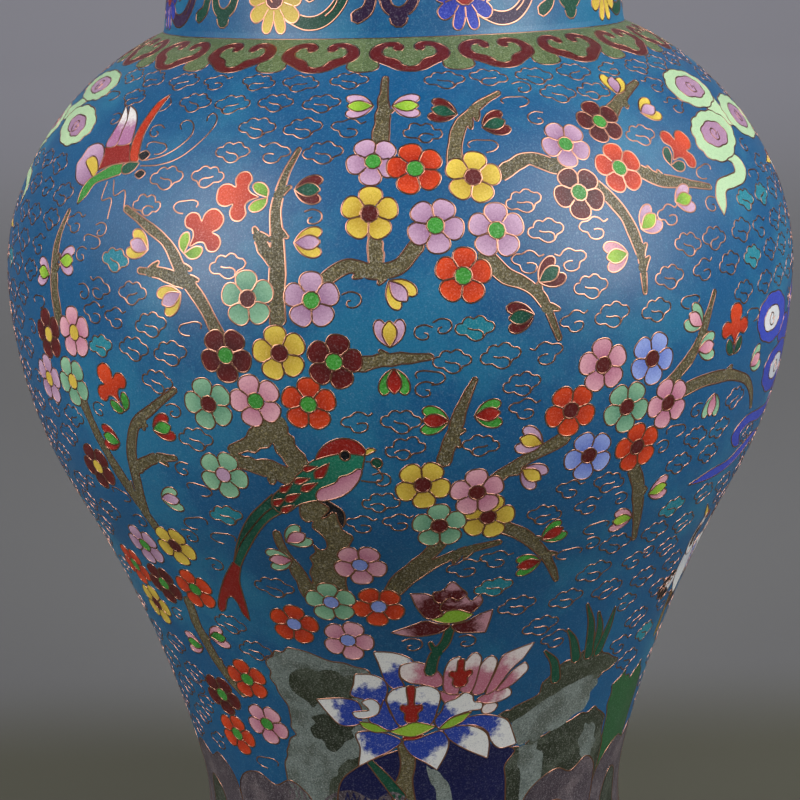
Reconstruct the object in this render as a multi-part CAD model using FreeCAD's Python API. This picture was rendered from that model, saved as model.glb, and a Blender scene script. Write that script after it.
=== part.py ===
import FreeCAD
import Part

import math
import os

# A cloisonne vase: a copper body raised in four pieces and brazed together, coated with enamel
# inside and out between copper wire rings, with a gilt brass ring at the mouth and at the foot.
# Millimetres, +Z up, the origin at the centre of the standing face.

# ---- Driving dimensions: the outline, on the finished outer face ----
# Going up from the foot, each rise starts where the one before it ends.
foot_ring_height = 5.0
waist_rise = 29.0
taper_rise = 92.4  # to where the foot's inward curve turns into the belly's outward one
belly_rise = 53.6
neck_rise = 60.0
throat_rise = 22.0
mouth_rise = 38.5

waist_radius = 56.1
foot_flare = 8.5  # how much wider than the waist the foot is at its ring
foot_lean = 31.0  # degrees from upright, where the foot meets its ring
belly_radius = 100.0
taper_narrowing = 13.3  # from the belly
taper_lean = 27.85  # degrees from upright
taper_balance = 0.194  # how the turn below the taper is shared between its two arcs
shoulder_slope = 23.3  # degrees below level, where the shoulder leaves the neck
shoulder_balance = 0.375
neck_radius = 57.7  # where the neck stands on the shoulder
neck_flare = 6.0  # degrees from upright, where the neck meets the shoulder
throat_narrowing = 2.3  # from the neck's foot
mouth_flare = 13.6  # from the throat
mouth_lean = 50.0  # degrees from upright, under the lip
mouth_balance = 1.3

# ---- Walls and coats ----
copper = 1.0
enamel = 0.8  # outer coat
lining = 0.4  # inner coat and the coat under the base
plate_thickness = 1.2
braze_gap = 0.05  # between two pieces of copper that are brazed

# ---- Joints of the shells ----
lap_length = 6.0  # how far a shell's turned-in edge slides inside its neighbour
ledge_length = 2.0  # the thick step behind that edge
collar_length = 8.0  # how far the neck reaches down inside the shoulder

# ---- Wire rings ----
wire_width = 0.45
wire_proud = 0.1  # how far a wire stands out of the enamel
lip_wire_drop = 8.5  # below the mouth
neck_wire_rise = 2.0  # above the throat
foot_wire_drop = 4.0  # below the waist
base_wire_rise = 7.0  # above the foot ring

# ---- Gilt brass rings ----
lip_bead_radius = 2.4
foot_ring_proud = 1.3
foot_ring_width = 6.0
foot_ring_round = 1.0
socket_depth = 1.6  # how far a shell's edge sits in a brass ring

# ---- Heights and radii that follow from these ----
waist_height = foot_ring_height + waist_rise
taper_height = waist_height + taper_rise
belly_height = taper_height + belly_rise
neck_height = belly_height + neck_rise
throat_height = neck_height + throat_rise
mouth_height = throat_height + mouth_rise
foot_radius = waist_radius + foot_flare
taper_radius = belly_radius - taper_narrowing
throat_radius = neck_radius - throat_narrowing
mouth_radius = throat_radius + mouth_flare
base_wire_height = foot_ring_height + base_wire_rise
foot_wire_height = waist_height - foot_wire_drop
neck_wire_height = throat_height + neck_wire_rise
lip_wire_height = mouth_height - lip_wire_drop

turn_axis = FreeCAD.Vector(0, 0, 1)
origin = FreeCAD.Vector(0, 0, 0)
hairline = 1e-6  # a length or a bend too small to draw


# ---- The outline as a chain of arcs ----
# An angle t is the direction of travel down the outline, in radians below level, outwards being 0.
# The outward normal there is (sin t, cos t). A stretch is (centre r, centre z, radius, side, t0, t1),
# with side 1 where the face bulges outwards and -1 where it is hollow.
def heading(t):
    return (math.cos(t), -math.sin(t))


def normal(t):
    return (math.sin(t), math.cos(t))


def on_stretch(stretch, t, offset):
    centre_r, centre_z, radius, side, _, _ = stretch
    reach = side * (radius + side * offset)
    return FreeCAD.Vector(centre_r + reach * math.sin(t), 0, centre_z + reach * math.cos(t))


def stretch_from(start, t0, end):
    """The arc that leaves start along t0 and reaches end."""
    chord = (end[0] - start[0], end[1] - start[1])
    ahead = heading(t0)
    sideways = normal(t0)
    across = chord[0] * sideways[0] + chord[1] * sideways[1]
    bend = -2 * across / (chord[0] ** 2 + chord[1] ** 2)
    if abs(bend) < hairline:
        bend = math.copysign(hairline, bend)
    side = 1 if bend > 0 else -1
    radius = 1 / abs(bend)
    centre_r = start[0] - side * radius * sideways[0]
    centre_z = start[1] - side * radius * sideways[1]
    t1 = math.atan2(side * (end[0] - centre_r), side * (end[1] - centre_z))
    return (centre_r, centre_z, radius, side, t0, t1)


def two_arcs(start, t0, end, t1, balance=1.0):
    """Two arcs that run smoothly into each other, from start along t0 to end along t1."""
    chord = (end[0] - start[0], end[1] - start[1])
    a, b = heading(t0), heading(t1)
    along_a = chord[0] * a[0] + chord[1] * a[1]
    along_b = chord[0] * b[0] + chord[1] * b[1]
    square = 2 * balance * (1 - (a[0] * b[0] + a[1] * b[1]))
    linear = 2 * (along_a + balance * along_b)
    length = chord[0] ** 2 + chord[1] ** 2
    if square > hairline:
        first = (-linear + math.sqrt(linear**2 + 4 * square * length)) / (2 * square)
    else:
        first = length / linear
    second = balance * first
    corner_a = (start[0] + first * a[0], start[1] + first * a[1])
    corner_b = (end[0] - second * b[0], end[1] - second * b[1])
    share = first / (first + second)
    middle = tuple(p + (q - p) * share for p, q in zip(corner_a, corner_b))
    before = stretch_from(start, t0, middle)
    return [before, stretch_from(middle, before[5], end)]


def stretch_length(stretch):
    return stretch[2] * abs(stretch[5] - stretch[4])


def length_at(outline, height):
    """How far down the outline it first reaches that height."""
    travelled = 0.0
    for stretch in outline:
        _, centre_z, radius, side, t0, t1 = stretch
        top, bottom = (on_stretch(stretch, t, 0).z for t in (t0, t1))
        if bottom <= height <= top:
            t = math.acos(max(-1.0, min(1.0, (height - centre_z) / (side * radius))))
            return travelled + radius * abs(t - t0)
        travelled += stretch_length(stretch)
    return travelled


def full_length(outline):
    return sum(stretch_length(s) for s in outline)


def edges_along(outline, start, end, offset):
    """The outline's arcs between two lengths, moved out by offset, as (first, middle, last) points."""
    found, travelled = [], 0.0
    for index, stretch in enumerate(outline):
        radius, t0, t1 = stretch[2], stretch[4], stretch[5]
        length = stretch_length(stretch)
        low, high = start - travelled, end - travelled
        if index > 0:
            low = max(low, 0.0)
        if index < len(outline) - 1:
            high = min(high, length)
        if high - low > hairline:
            way = math.copysign(1 / radius, t1 - t0)
            angles = [t0 + way * low, t0 + way * (low + high) / 2, t0 + way * high]
            found.append([on_stretch(stretch, t, offset) for t in angles])
        travelled += length
    return found


def arc_edge(points):
    """An arc through three points, or a line where they are straight."""
    first, middle, last = points
    bow = middle.sub(first.add(last).multiply(0.5)).Length
    straight = 1e-4
    if bow < straight:
        return Part.LineSegment(first, last).toShape()
    return Part.Arc(first, middle, last).toShape()


# ---- Sections: flat faces at y = 0, with x as the radius ----
def section(edges):
    return Part.Face(Part.Wire(edges))


def section_of_corners(*corners):
    points = [FreeCAD.Vector(r, 0, z) for r, z in corners]
    return section([Part.makePolygon(points + points[:1])])


def turned(shape):
    """A section turned into a solid round the vase's axis."""
    if len(shape.Faces) > 1:
        shape = shape.removeSplitter()
    return shape.Faces[0].revolve(origin, turn_axis, 360).Solids[0]


def band(outline, start, end, inner, outer, tail=None):
    """A stretch of wall between two lengths and two offsets of the outline. A tail carries it
    straight down to that height."""
    outside = edges_along(outline, start, end, outer)
    inside = edges_along(outline, start, end, inner)
    outer_end, inner_end = outside[-1][2], inside[-1][2]
    edges = [arc_edge(points) for points in outside]
    if tail is None:
        edges.append(Part.LineSegment(outer_end, inner_end).toShape())
    else:
        outer_foot = FreeCAD.Vector(outer_end.x, 0, tail)
        inner_foot = FreeCAD.Vector(inner_end.x, 0, tail)
        corners = [outer_end, outer_foot, inner_foot, inner_end]
        edges += [Part.LineSegment(p, q).toShape() for p, q in zip(corners, corners[1:])]
    edges += [arc_edge(points[::-1]) for points in reversed(inside)]
    edges.append(Part.LineSegment(inside[0][0], outside[0][0]).toShape())
    return section(edges)


def tube(inner, outer, bottom, top):
    """An upright tube, or a disc where inner is 0."""
    return section_of_corners((inner, bottom), (outer, bottom), (outer, top), (inner, top))


def point_at(outline, length, offset):
    short = 0.01
    return edges_along(outline, length, length + short, offset)[0][0]


upright = math.pi / 2
neck_outline = two_arcs(
    (mouth_radius, mouth_height),
    upright + math.radians(mouth_lean),
    (throat_radius, throat_height),
    upright,
    mouth_balance,
) + two_arcs(
    (throat_radius, throat_height),
    upright,
    (neck_radius, neck_height),
    upright - math.radians(neck_flare),
)
body_outline = (
    two_arcs(
        (neck_radius, neck_height),
        math.radians(shoulder_slope),
        (belly_radius, belly_height),
        upright,
        shoulder_balance,
    )
    + two_arcs(
        (belly_radius, belly_height),
        upright,
        (taper_radius, taper_height),
        upright + math.radians(taper_lean),
    )
    + two_arcs(
        (taper_radius, taper_height),
        upright + math.radians(taper_lean),
        (waist_radius, waist_height),
        upright,
        taper_balance,
    )
    + two_arcs(
        (waist_radius, waist_height),
        upright,
        (foot_radius, foot_ring_height),
        upright - math.radians(foot_lean),
    )
)

# ---- Places along the outlines ----
neck_end = full_length(neck_outline)
body_end = full_length(body_outline)
belly_seam = length_at(body_outline, belly_height)
foot_seam = length_at(body_outline, waist_height)
foot_wire_place = length_at(body_outline, foot_wire_height)
base_wire_place = length_at(body_outline, base_wire_height)
lip_wire_place = length_at(neck_outline, lip_wire_height)
neck_wire_place = length_at(neck_outline, neck_wire_height)
half_wire = wire_width / 2
spare = 2.0  # how far a layer runs on before a neighbour trims it

# Offsets of each layer's faces from the finished face.
copper_out = -enamel
copper_in = -enamel - copper
lining_in = copper_in - lining
lap_out = copper_in - braze_gap
lap_in = lap_out - copper
lap_lining_in = lap_in - lining

# ---- What the neck's collar and its wire take out of the shoulder ----
collar_outer = point_at(neck_outline, neck_end, copper_out).x
collar_bottom = neck_height - collar_length
joint_wire_radius = neck_radius + wire_proud


def shoulder_hole():
    above = neck_height + collar_length
    hole = tube(0, collar_outer + braze_gap, collar_bottom - collar_length, above)
    return hole.fuse(tube(0, joint_wire_radius, neck_height - half_wire, above))


# ---- Gilt brass rings ----
lip_centre = point_at(neck_outline, 0.0, (copper_out + copper_in) / 2)
lip_edge = lip_bead_radius - socket_depth  # where the neck's copper ends, inside the bead
foot_edge = body_end + socket_depth  # where the foot's copper ends, inside its ring
foot_ring_outer = foot_radius + foot_ring_proud


def lip_bead():
    circle = Part.Circle(lip_centre, FreeCAD.Vector(0, 1, 0), lip_bead_radius)
    quarter = math.pi / 2
    return section([circle.toShape(i * quarter, (i + 1) * quarter) for i in range(4)])


def foot_ring_blank():
    outer, top, rounding = foot_ring_outer, foot_ring_height, foot_ring_round
    inner = outer - foot_ring_width
    diagonal = rounding * (1 - math.sqrt(0.5))

    def at(r, z):
        return FreeCAD.Vector(r, 0, z)

    lower = [at(outer - rounding, 0), at(outer - diagonal, diagonal), at(outer, rounding)]
    upper = [
        at(outer, top - rounding),
        at(outer - diagonal, top - diagonal),
        at(outer - rounding, top),
    ]
    return section(
        [
            Part.LineSegment(at(inner, 0), lower[0]).toShape(),
            Part.Arc(*lower).toShape(),
            Part.LineSegment(lower[2], upper[0]).toShape(),
            Part.Arc(*upper).toShape(),
            Part.LineSegment(upper[2], at(inner, top)).toShape(),
            Part.LineSegment(at(inner, top), at(inner, 0)).toShape(),
        ]
    )


def lip_ring():
    return lip_bead().cut(neck_shell())


def foot_ring():
    return foot_ring_blank().cut(foot_shell())


# ---- Copper shells ----
def lapped(seam, end):
    """A body shell below a seam, with a turned-in edge that slides up inside the shell above."""
    ledge_end = seam + ledge_length
    wall = band(body_outline, seam, end, copper_in, copper_out)
    ledge = band(body_outline, seam, ledge_end, lap_in, copper_out)
    lap = band(body_outline, seam - lap_length, ledge_end, lap_in, lap_out)
    return wall.fuse([ledge, lap])


def neck_shell():
    return band(neck_outline, lip_edge, neck_end, copper_in, copper_out, collar_bottom)


def shoulder_shell():
    wall = band(body_outline, -spare, belly_seam, copper_in, copper_out)
    return wall.cut(shoulder_hole())


def belly_shell():
    return lapped(belly_seam, foot_seam)


def foot_shell():
    return lapped(foot_seam, foot_edge)


# The base plate lies on the foot shell's turned-in edge, inside the belly shell.
plate_place = foot_seam - lap_length
lap_top = point_at(body_outline, plate_place, lap_in).z
lap_lining_top = point_at(body_outline, plate_place, lap_lining_in).z
plate_bottom = max(lap_top + braze_gap, lap_lining_top)
plate_top = plate_bottom + plate_thickness
plate_radius = point_at(body_outline, plate_place, copper_in).x - braze_gap


def base_plate():
    return tube(0, plate_radius, plate_bottom, plate_top)


# ---- Wire rings ----
def wire_ring(outline, place):
    return band(outline, place - half_wire, place + half_wire, copper_out, wire_proud)


def lip_wire():
    return wire_ring(neck_outline, lip_wire_place)


def neck_wire():
    return wire_ring(neck_outline, neck_wire_place)


def neck_joint_wire():
    low, high = neck_height - half_wire, neck_height + half_wire
    return tube(collar_outer, joint_wire_radius, low, high)


def foot_wire():
    return wire_ring(body_outline, foot_wire_place)


def base_wire():
    return wire_ring(body_outline, base_wire_place)


# ---- Outer enamel, between the wires ----
def outer_coat(outline, start, end):
    return band(outline, start, end, copper_out, 0.0)


def lip_enamel():
    return outer_coat(neck_outline, 0.0, lip_wire_place - half_wire).cut(lip_bead())


def upper_neck_enamel():
    return outer_coat(neck_outline, lip_wire_place + half_wire, neck_wire_place - half_wire)


def neck_scroll_enamel():
    coat = outer_coat(neck_outline, neck_wire_place + half_wire, neck_end)
    return coat.cut(neck_joint_wire())


def body_enamel():
    coat = outer_coat(body_outline, -spare, foot_wire_place - half_wire)
    return coat.cut(shoulder_hole())


def foot_enamel():
    return outer_coat(body_outline, foot_wire_place + half_wire, base_wire_place - half_wire)


def base_border_enamel():
    coat = outer_coat(body_outline, base_wire_place + half_wire, foot_edge)
    return coat.cut(foot_ring_blank())


# ---- Inner enamel ----
def lapped_lining(seam, end):
    """The coat inside a shell that has a turned-in edge."""
    ledge_end = seam + ledge_length
    start = seam - lap_length
    wall = band(body_outline, ledge_end, end, lining_in, copper_in)
    riser = band(body_outline, ledge_end, ledge_end + lining, lap_lining_in, copper_in)
    lap = band(body_outline, start, ledge_end + lining, lap_lining_in, lap_in)
    return wall.fuse([riser, lap])


def neck_lining():
    coat = band(neck_outline, 0.0, neck_end, lining_in, copper_in, collar_bottom)
    return coat.cut(lip_bead())


def shoulder_lining():
    end = belly_seam - lap_length - braze_gap
    return band(body_outline, -spare, end, lining_in, copper_in).cut(shoulder_hole())


def belly_lining():
    below_plate = tube(0, belly_radius, 0, plate_top)
    return lapped_lining(belly_seam, plate_place).cut(below_plate)


def floor_lining():
    return tube(0, plate_radius, plate_top, plate_top + lining).cut(belly_lining())


def base_enamel():
    radius = point_at(body_outline, foot_seam, lap_lining_in).x
    return tube(0, radius, plate_bottom - lining, plate_bottom)


def foot_lining():
    return lapped_lining(foot_seam, foot_edge).cut(foot_ring_blank())


pieces = [
    lip_ring,
    neck_shell,
    shoulder_shell,
    belly_shell,
    foot_shell,
    base_plate,
    foot_ring,
    lip_wire,
    neck_wire,
    neck_joint_wire,
    foot_wire,
    base_wire,
    lip_enamel,
    upper_neck_enamel,
    neck_scroll_enamel,
    body_enamel,
    foot_enamel,
    base_border_enamel,
    neck_lining,
    shoulder_lining,
    belly_lining,
    floor_lining,
    base_enamel,
    foot_lining,
]

os.makedirs("parts", exist_ok=True)
for make in pieces:
    shape = turned(make())
    print(f"{make.__name__:20s} solids {len(shape.Solids)}  {shape.Volume / 1000:8.3f} cm3")
    shape.exportStep(f"parts/{make.__name__}.step")
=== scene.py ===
import bpy
import math
import random
import numpy as np
from mathutils import Euler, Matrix, Vector, bvhtree, geometry


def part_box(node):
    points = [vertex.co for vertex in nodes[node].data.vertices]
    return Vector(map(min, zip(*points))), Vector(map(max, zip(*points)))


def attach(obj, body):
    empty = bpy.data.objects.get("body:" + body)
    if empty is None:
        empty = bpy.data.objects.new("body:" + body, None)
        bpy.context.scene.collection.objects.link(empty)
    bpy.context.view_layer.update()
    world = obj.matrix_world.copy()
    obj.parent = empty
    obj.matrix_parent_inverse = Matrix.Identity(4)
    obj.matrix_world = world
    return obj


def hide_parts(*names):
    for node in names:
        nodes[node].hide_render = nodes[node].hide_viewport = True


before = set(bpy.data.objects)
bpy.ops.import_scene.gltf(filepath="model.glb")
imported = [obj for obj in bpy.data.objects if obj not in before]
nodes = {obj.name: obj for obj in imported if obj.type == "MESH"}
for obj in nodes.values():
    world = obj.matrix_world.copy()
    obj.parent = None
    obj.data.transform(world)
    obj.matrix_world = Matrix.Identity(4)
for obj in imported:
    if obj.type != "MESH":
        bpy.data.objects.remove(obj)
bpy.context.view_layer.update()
mm = 0.001

# The vase is drawn on a chart that is then laid round it. A place on the chart is an angle in
# degrees, 0 facing -Y and growing to the right, and a travel in millimetres down the outline
# from the neck joint, negative up the neck.


# ---- the outline, read from the enamel coats ----
outlineSettings = {
    "above": ["lip_enamel", "upper_neck_enamel", "neck_scroll_enamel"],
    "below": ["body_enamel", "foot_enamel", "base_border_enamel"],
    "copper": ["neck_shell", "shoulder_shell", "belly_shell", "foot_shell"],
    "halfCoat": 0.4 * mm,  # nearer to the copper than this is the coat's inner face
    "wireProud": 0.1 * mm,
    "step": 0.5,  # mm between the points of the smoothed outline
}


def smoothPiece(points, step, power):
    # a curve through the points, with its knots spaced by distance to that power
    points = [np.array(p, float) for p in points]
    ends = [2 * points[0] - points[1]] + points + [2 * points[-1] - points[-2]]
    return smoothSpans(ends, step, power) + [tuple(points[-1])]


def smoothSpans(points, step, power):
    found = []
    for a, b, c, d in zip(points, points[1:], points[2:], points[3:]):
        knots = [0.0]
        for p, q in ((a, b), (b, c), (c, d)):
            knots.append(knots[-1] + max(float(np.linalg.norm(q - p)), 1e-6) ** power)
        t0, t1, t2, t3 = knots
        count = max(1, round(float(np.linalg.norm(c - b)) / step))
        for i in range(count):
            t = t1 + (t2 - t1) * i / count
            ab = (a * (t1 - t) + b * (t - t0)) / (t1 - t0)
            bc = (b * (t2 - t) + c * (t - t1)) / (t2 - t1)
            cd = (c * (t3 - t) + d * (t - t2)) / (t3 - t2)
            abc = (ab * (t2 - t) + bc * (t - t0)) / (t2 - t0)
            bcd = (bc * (t3 - t) + cd * (t - t1)) / (t3 - t1)
            found.append(tuple((abc * (t2 - t) + bcd * (t - t1)) / (t2 - t1)))
    return found


def outerPoints(coats, copper):
    # the outer face's points in the plane y = 0, from top to bottom
    found = set()
    for name in coats:
        for vertex in nodes[name].data.vertices:
            x, y, z = vertex.co
            if x > 0 and abs(y) < 1e-6:
                if copper.find_nearest(vertex.co)[3] > outlineSettings["halfCoat"]:
                    found.add((round(x / mm, 3), round(z / mm, 3)))
    return sorted(found, key=lambda p: -p[1])


def meshTree(names):
    points, faces = [], []
    for name in names:
        mesh = nodes[name].data
        first = len(points)
        points += [v.co.copy() for v in mesh.vertices]
        faces += [[first + i for i in p.vertices] for p in mesh.polygons]
    return bvhtree.BVHTree.FromPolygons(points, faces)


def readOutline():
    copper = meshTree(outlineSettings["copper"])
    low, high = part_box("neck_joint_wire")
    joint = ((high.x - outlineSettings["wireProud"]) / mm, (low.z + high.z) / 2 / mm)
    above = [p for p in outerPoints(outlineSettings["above"], copper) if p[1] > joint[1] + 1]
    below = [p for p in outerPoints(outlineSettings["below"], copper) if p[1] < joint[1] - 1]
    step = outlineSettings["step"]
    above = smoothPiece(above + [joint], step, 1.0)
    below = smoothPiece([joint] + below, step, 1.0)
    return np.array(above[:-1] + below), len(above) - 1


outline, jointIndex = readOutline()
travels = np.concatenate([[0.0], np.cumsum(np.hypot(*np.diff(outline, axis=0).T))])
jointTravel = float(travels[jointIndex])  # mm from the outline's top to the neck joint
travels = travels - jointTravel
topTravel, endTravel = float(travels[0]), float(travels[-1])


def radiusAt(travel):
    return float(np.interp(travel, travels, outline[:, 0]))


def travelAt(height):
    return float(np.interp(-height, -outline[:, 1], travels))


def bandOf(node):
    # the travels between which a coat lies
    low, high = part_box(node)
    return travelAt(high.z / mm), travelAt(low.z / mm)


def newObject(name, data):
    made = bpy.data.objects.new(name, data)
    bpy.context.scene.collection.objects.link(made)
    return made


def lineObject(name, places, closed=False, upright=False):
    # a straight-sided line through places in mm, on the floor or standing on its x
    data = bpy.data.curves.new(name, "CURVE")
    data.dimensions = "3D"
    spline = data.splines.new("POLY")
    spline.points.add(len(places) - 1)
    for point, (u, v) in zip(spline.points, places):
        point.co = (u * mm, 0, v * mm, 1) if upright else (u * mm, v * mm, 0, 1)
    spline.use_cyclic_u = closed
    return newObject(name, data)


outlineCurve = lineObject("outline", outline, upright=True)
print("outline", len(outline), "points,", round(topTravel, 1), "to", round(endTravel, 1), "mm")


# ---- node trees ----
class Value:
    # a number socket that can be used in sums
    def __init__(self, graph, socket):
        self.graph = graph
        self.socket = socket

    def calculate(self, operation, *others):
        sockets = dict(enumerate(others))
        return self.graph.value("ShaderNodeMath", {"operation": operation}, sockets)

    def __add__(self, other):
        return self.calculate("ADD", self, other)

    def __radd__(self, other):
        return self.calculate("ADD", other, self)

    def __sub__(self, other):
        return self.calculate("SUBTRACT", self, other)

    def __rsub__(self, other):
        return self.calculate("SUBTRACT", other, self)

    def __mul__(self, other):
        return self.calculate("MULTIPLY", self, other)

    def __rmul__(self, other):
        return self.calculate("MULTIPLY", other, self)

    def __neg__(self):
        return self.calculate("MULTIPLY", self, -1.0)

    def __gt__(self, other):
        return self.calculate("GREATER_THAN", self, other)


class Graph:
    def __init__(self, tree):
        self.tree = tree

    def node(self, kind, settings=None, sockets=None):
        made = self.tree.nodes.new(kind)
        for name, value in (settings or {}).items():
            setattr(made, name, value)
        for key, value in (sockets or {}).items():
            if isinstance(value, Value):
                value = value.socket
            if isinstance(value, bpy.types.NodeSocket):
                self.tree.links.new(value, made.inputs[key])
            else:
                made.inputs[key].default_value = value
        return made

    def value(self, kind, settings=None, sockets=None, output=0):
        return Value(self, self.node(kind, settings, sockets).outputs[output])

    def geometry(self, kind, settings=None, sockets=None):
        return self.node("GeometryNode" + kind, settings, sockets).outputs[0]

    def vector(self, x=0.0, y=0.0, z=0.0):
        return self.node("ShaderNodeCombineXYZ", None, {0: x, 1: y, 2: z}).outputs[0]

    def parts(self, vector):
        separate = self.node("ShaderNodeSeparateXYZ", None, {0: vector})
        return [Value(self, output) for output in separate.outputs]


def geometryTree(name, inputs):
    # a tree with a geometry in and out, and named inputs of the given kinds
    tree = bpy.data.node_groups.new(name, "GeometryNodeTree")
    tree.interface.new_socket("Geometry", in_out="OUTPUT", socket_type="NodeSocketGeometry")
    common = {"Geometry": "Geometry", "Outline": "Object", "Joint travel": "Float", "Material": "Material"}
    for label, kind in (common | inputs).items():
        tree.interface.new_socket(label, in_out="INPUT", socket_type="NodeSocket" + kind)
    graph = Graph(tree)
    return graph, graph.node("NodeGroupInput").outputs


def finishTree(graph, result, given):
    real = graph.geometry("RealizeInstances", None, {"Geometry": result})
    painted = graph.geometry("SetMaterial", None, {"Geometry": real, "Material": given["Material"]})
    graph.node("NodeGroupOutput", None, {"Geometry": painted})
    return graph.tree


def addWrap(graph, flat, given):
    # lays flat geometry round the vase: x is the angle, -y the travel, z the lift
    angle, height, lift = graph.parts(graph.geometry("InputPosition"))
    line = graph.node("GeometryNodeObjectInfo", None, {"Object": given["Outline"]}).outputs["Geometry"]
    reached = {"Curves": line, "Length": Value(graph, given["Joint travel"]) - height}
    sample = graph.node("GeometryNodeSampleCurve", {"mode": "LENGTH", "use_all_curves": False}, reached)
    ahead = graph.parts(sample.outputs["Tangent"])
    outward = graph.vector(-ahead[2], 0.0, ahead[0])
    raised = {0: outward, 1: graph.vector(lift, lift, lift), 2: sample.outputs["Position"]}
    lifted = graph.node("ShaderNodeVectorMath", {"operation": "MULTIPLY_ADD"}, raised).outputs[0]
    turn = angle - math.pi / 2  # an angle of 0 faces -Y
    about = {"rotation_type": "Z_AXIS"}
    placed = graph.node("ShaderNodeVectorRotate", about, {"Vector": lifted, "Angle": turn}).outputs[0]
    facing = graph.node("ShaderNodeVectorRotate", about, {"Vector": outward, "Angle": turn}).outputs[0]
    named = {"Geometry": flat, "Name": "outward", "Value": facing}
    kept = graph.geometry("StoreNamedAttribute", {"data_type": "FLOAT_VECTOR", "domain": "POINT"}, named)
    return graph.geometry("SetPosition", None, {"Geometry": kept, "Position": placed})


def addSlab(graph, flat, given):
    # gives flat faces a depth below them, as a closed slab with crisp edges
    depth = Value(graph, given["Depth"])
    low = graph.geometry("SetPosition", None, {"Geometry": flat, "Offset": graph.vector(z=-depth)})
    under = graph.geometry("FlipFaces", None, {"Mesh": low})
    upwards = {"Mesh": low, "Offset": graph.vector(z=depth), "Individual": False}
    raised = graph.node("GeometryNodeExtrudeMesh", {"mode": "FACES"}, upwards)
    flatSides = {0: raised.outputs["Mesh"], "Selection": raised.outputs["Side"], "Shade Smooth": False}
    both = graph.node("GeometryNodeJoinGeometry")
    for half in (under, graph.geometry("SetShadeSmooth", None, flatSides)):
        graph.tree.links.new(half, both.inputs[0])
    return merged(graph, both.outputs[0], given)


def merged(graph, mesh, given):
    return graph.geometry("MergeByDistance", None, {"Geometry": mesh, "Distance": given["Merge within"]})


def cellTree():
    # flat cells, made slabs and laid round the vase
    graph, given = geometryTree("enamel cells", {"Depth": "Float", "Merge within": "Float"})
    return finishTree(graph, addWrap(graph, addSlab(graph, given["Geometry"], given), given), given)


def groundTree():
    # a sheet right round the vase between two travels, with its two ends joined
    inputs = dict.fromkeys(("Start", "Length", "Depth", "Merge within"), "Float")
    graph, given = geometryTree("enamel ground", inputs | {"Columns": "Int", "Rows": "Int"})
    size = {
        "Size X": 2 * math.pi,
        "Size Y": given["Length"],
        "Vertices X": given["Columns"],
        "Vertices Y": given["Rows"],
    }
    middle = -Value(graph, given["Start"]) - Value(graph, given["Length"]) * 0.5
    sheet = {"Geometry": graph.geometry("MeshGrid", None, size), "Offset": graph.vector(y=middle)}
    slab = addSlab(graph, graph.geometry("SetPosition", None, sheet), given)
    across = graph.parts(graph.geometry("InputPosition"))[0]
    atSeam = across.calculate("ABSOLUTE", across) > math.pi - groundSettings["seamWithin"]
    doomed = {"Geometry": slab, "Selection": atSeam}
    opened = graph.geometry("DeleteGeometry", {"domain": "FACE", "mode": "ONLY_FACE"}, doomed)
    return finishTree(graph, merged(graph, addWrap(graph, opened, given), given), given)


def wireTree():
    # lines laid round the vase, with a section of flat wire swept along each
    graph, given = geometryTree("wires", {"Section": "Object"})
    lines = graph.geometry("MeshToCurve", None, {"Mesh": addWrap(graph, given["Geometry"], given)})
    outward = graph.geometry("InputNamedAttribute", {"data_type": "FLOAT_VECTOR"}, {"Name": "outward"})
    upright = graph.geometry("SetCurveNormal", {"mode": "FREE"}, {"Curve": lines, "Normal": outward})
    section = graph.node("GeometryNodeObjectInfo", None, {"Object": given["Section"]}).outputs["Geometry"]
    sweep = {"Curve": upright, "Profile Curve": section, "Fill Caps": True}
    swept = graph.geometry("CurveToMesh", None, sweep)
    return finishTree(graph, graph.geometry("SetShadeSmooth", None, {0: swept, "Shade Smooth": True}), given)


def grown(name, tree, values, mesh=None):
    # runs a tree on a mesh and keeps the result as a plain mesh
    mesh = mesh or bpy.data.meshes.new(name)
    made = newObject(name, mesh)
    modifier = made.modifiers.new("grow", "NODES")
    modifier.node_group = tree
    values = {"Outline": outlineCurve, "Joint travel": -topTravel * mm} | values
    for item in tree.interface.items_tree:
        if item.in_out == "INPUT" and item.name in values:
            modifier[item.identifier] = values[item.name]
    evaluated = bpy.context.evaluated_depsgraph_get()
    result = bpy.data.meshes.new_from_object(made.evaluated_get(evaluated), depsgraph=evaluated)
    made.modifiers.remove(modifier)
    made.data = result
    result.name = name
    if "outward" in result.attributes:
        result.attributes.remove(result.attributes["outward"])
    return made


# ---- finishes ----
# A cell's "shade" runs from 0 at its deep end to 1 at its pale end, and its "tone" is one
# number for the whole cell, because each is filled by hand.
enamelSettings = {
    "roughness": 0.4,
    "roughnessSpread": 0.16,
    "ior": 1.5,
    "grainScale": 2600.0,  # of the ground glass, per metre
    "runScale": 312.0,  # of the ragged meeting of two colours
    "runSpread": 0.9,
    "grainSpread": 0.15,
    "fleckScale": 1820.0,
    "cloudScale": 90.0,  # of the firing's uneven colour
    "cloudSpread": 0.5,
    "pitScale": 1500.0,
    "pitDepth": 0.00003,
    "toneSpread": 0.16,
    "driftLight": (0.48, 0.64, 0.65),  # from where, to where and how much of the noise
    "driftDark": (0.46, 0.3, 0.5),
    "driftStretch": (1.0, 1.0, 0.9),
    "bumpStrength": 0.6,
}


def rgb(red, green, blue):
    # a colour written as it looks on a screen, out of 255
    def linear(part):
        part = part / 255
        return part / 12.92 if part <= 0.04045 else ((part + 0.055) / 1.055) ** 2.4

    return (linear(red), linear(green), linear(blue), 1.0)


def tinted(colour, share):
    # the colour moved towards white, or towards black where the share is negative
    target = 1.0 if share > 0 else 0.0
    return tuple(c + (target - c) * abs(share) for c in colour[:3]) + (1.0,)


def materialGraph(name):
    material = bpy.data.materials.new(name)
    material.use_nodes = True
    material.node_tree.nodes.clear()
    return material, Graph(material.node_tree)


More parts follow.
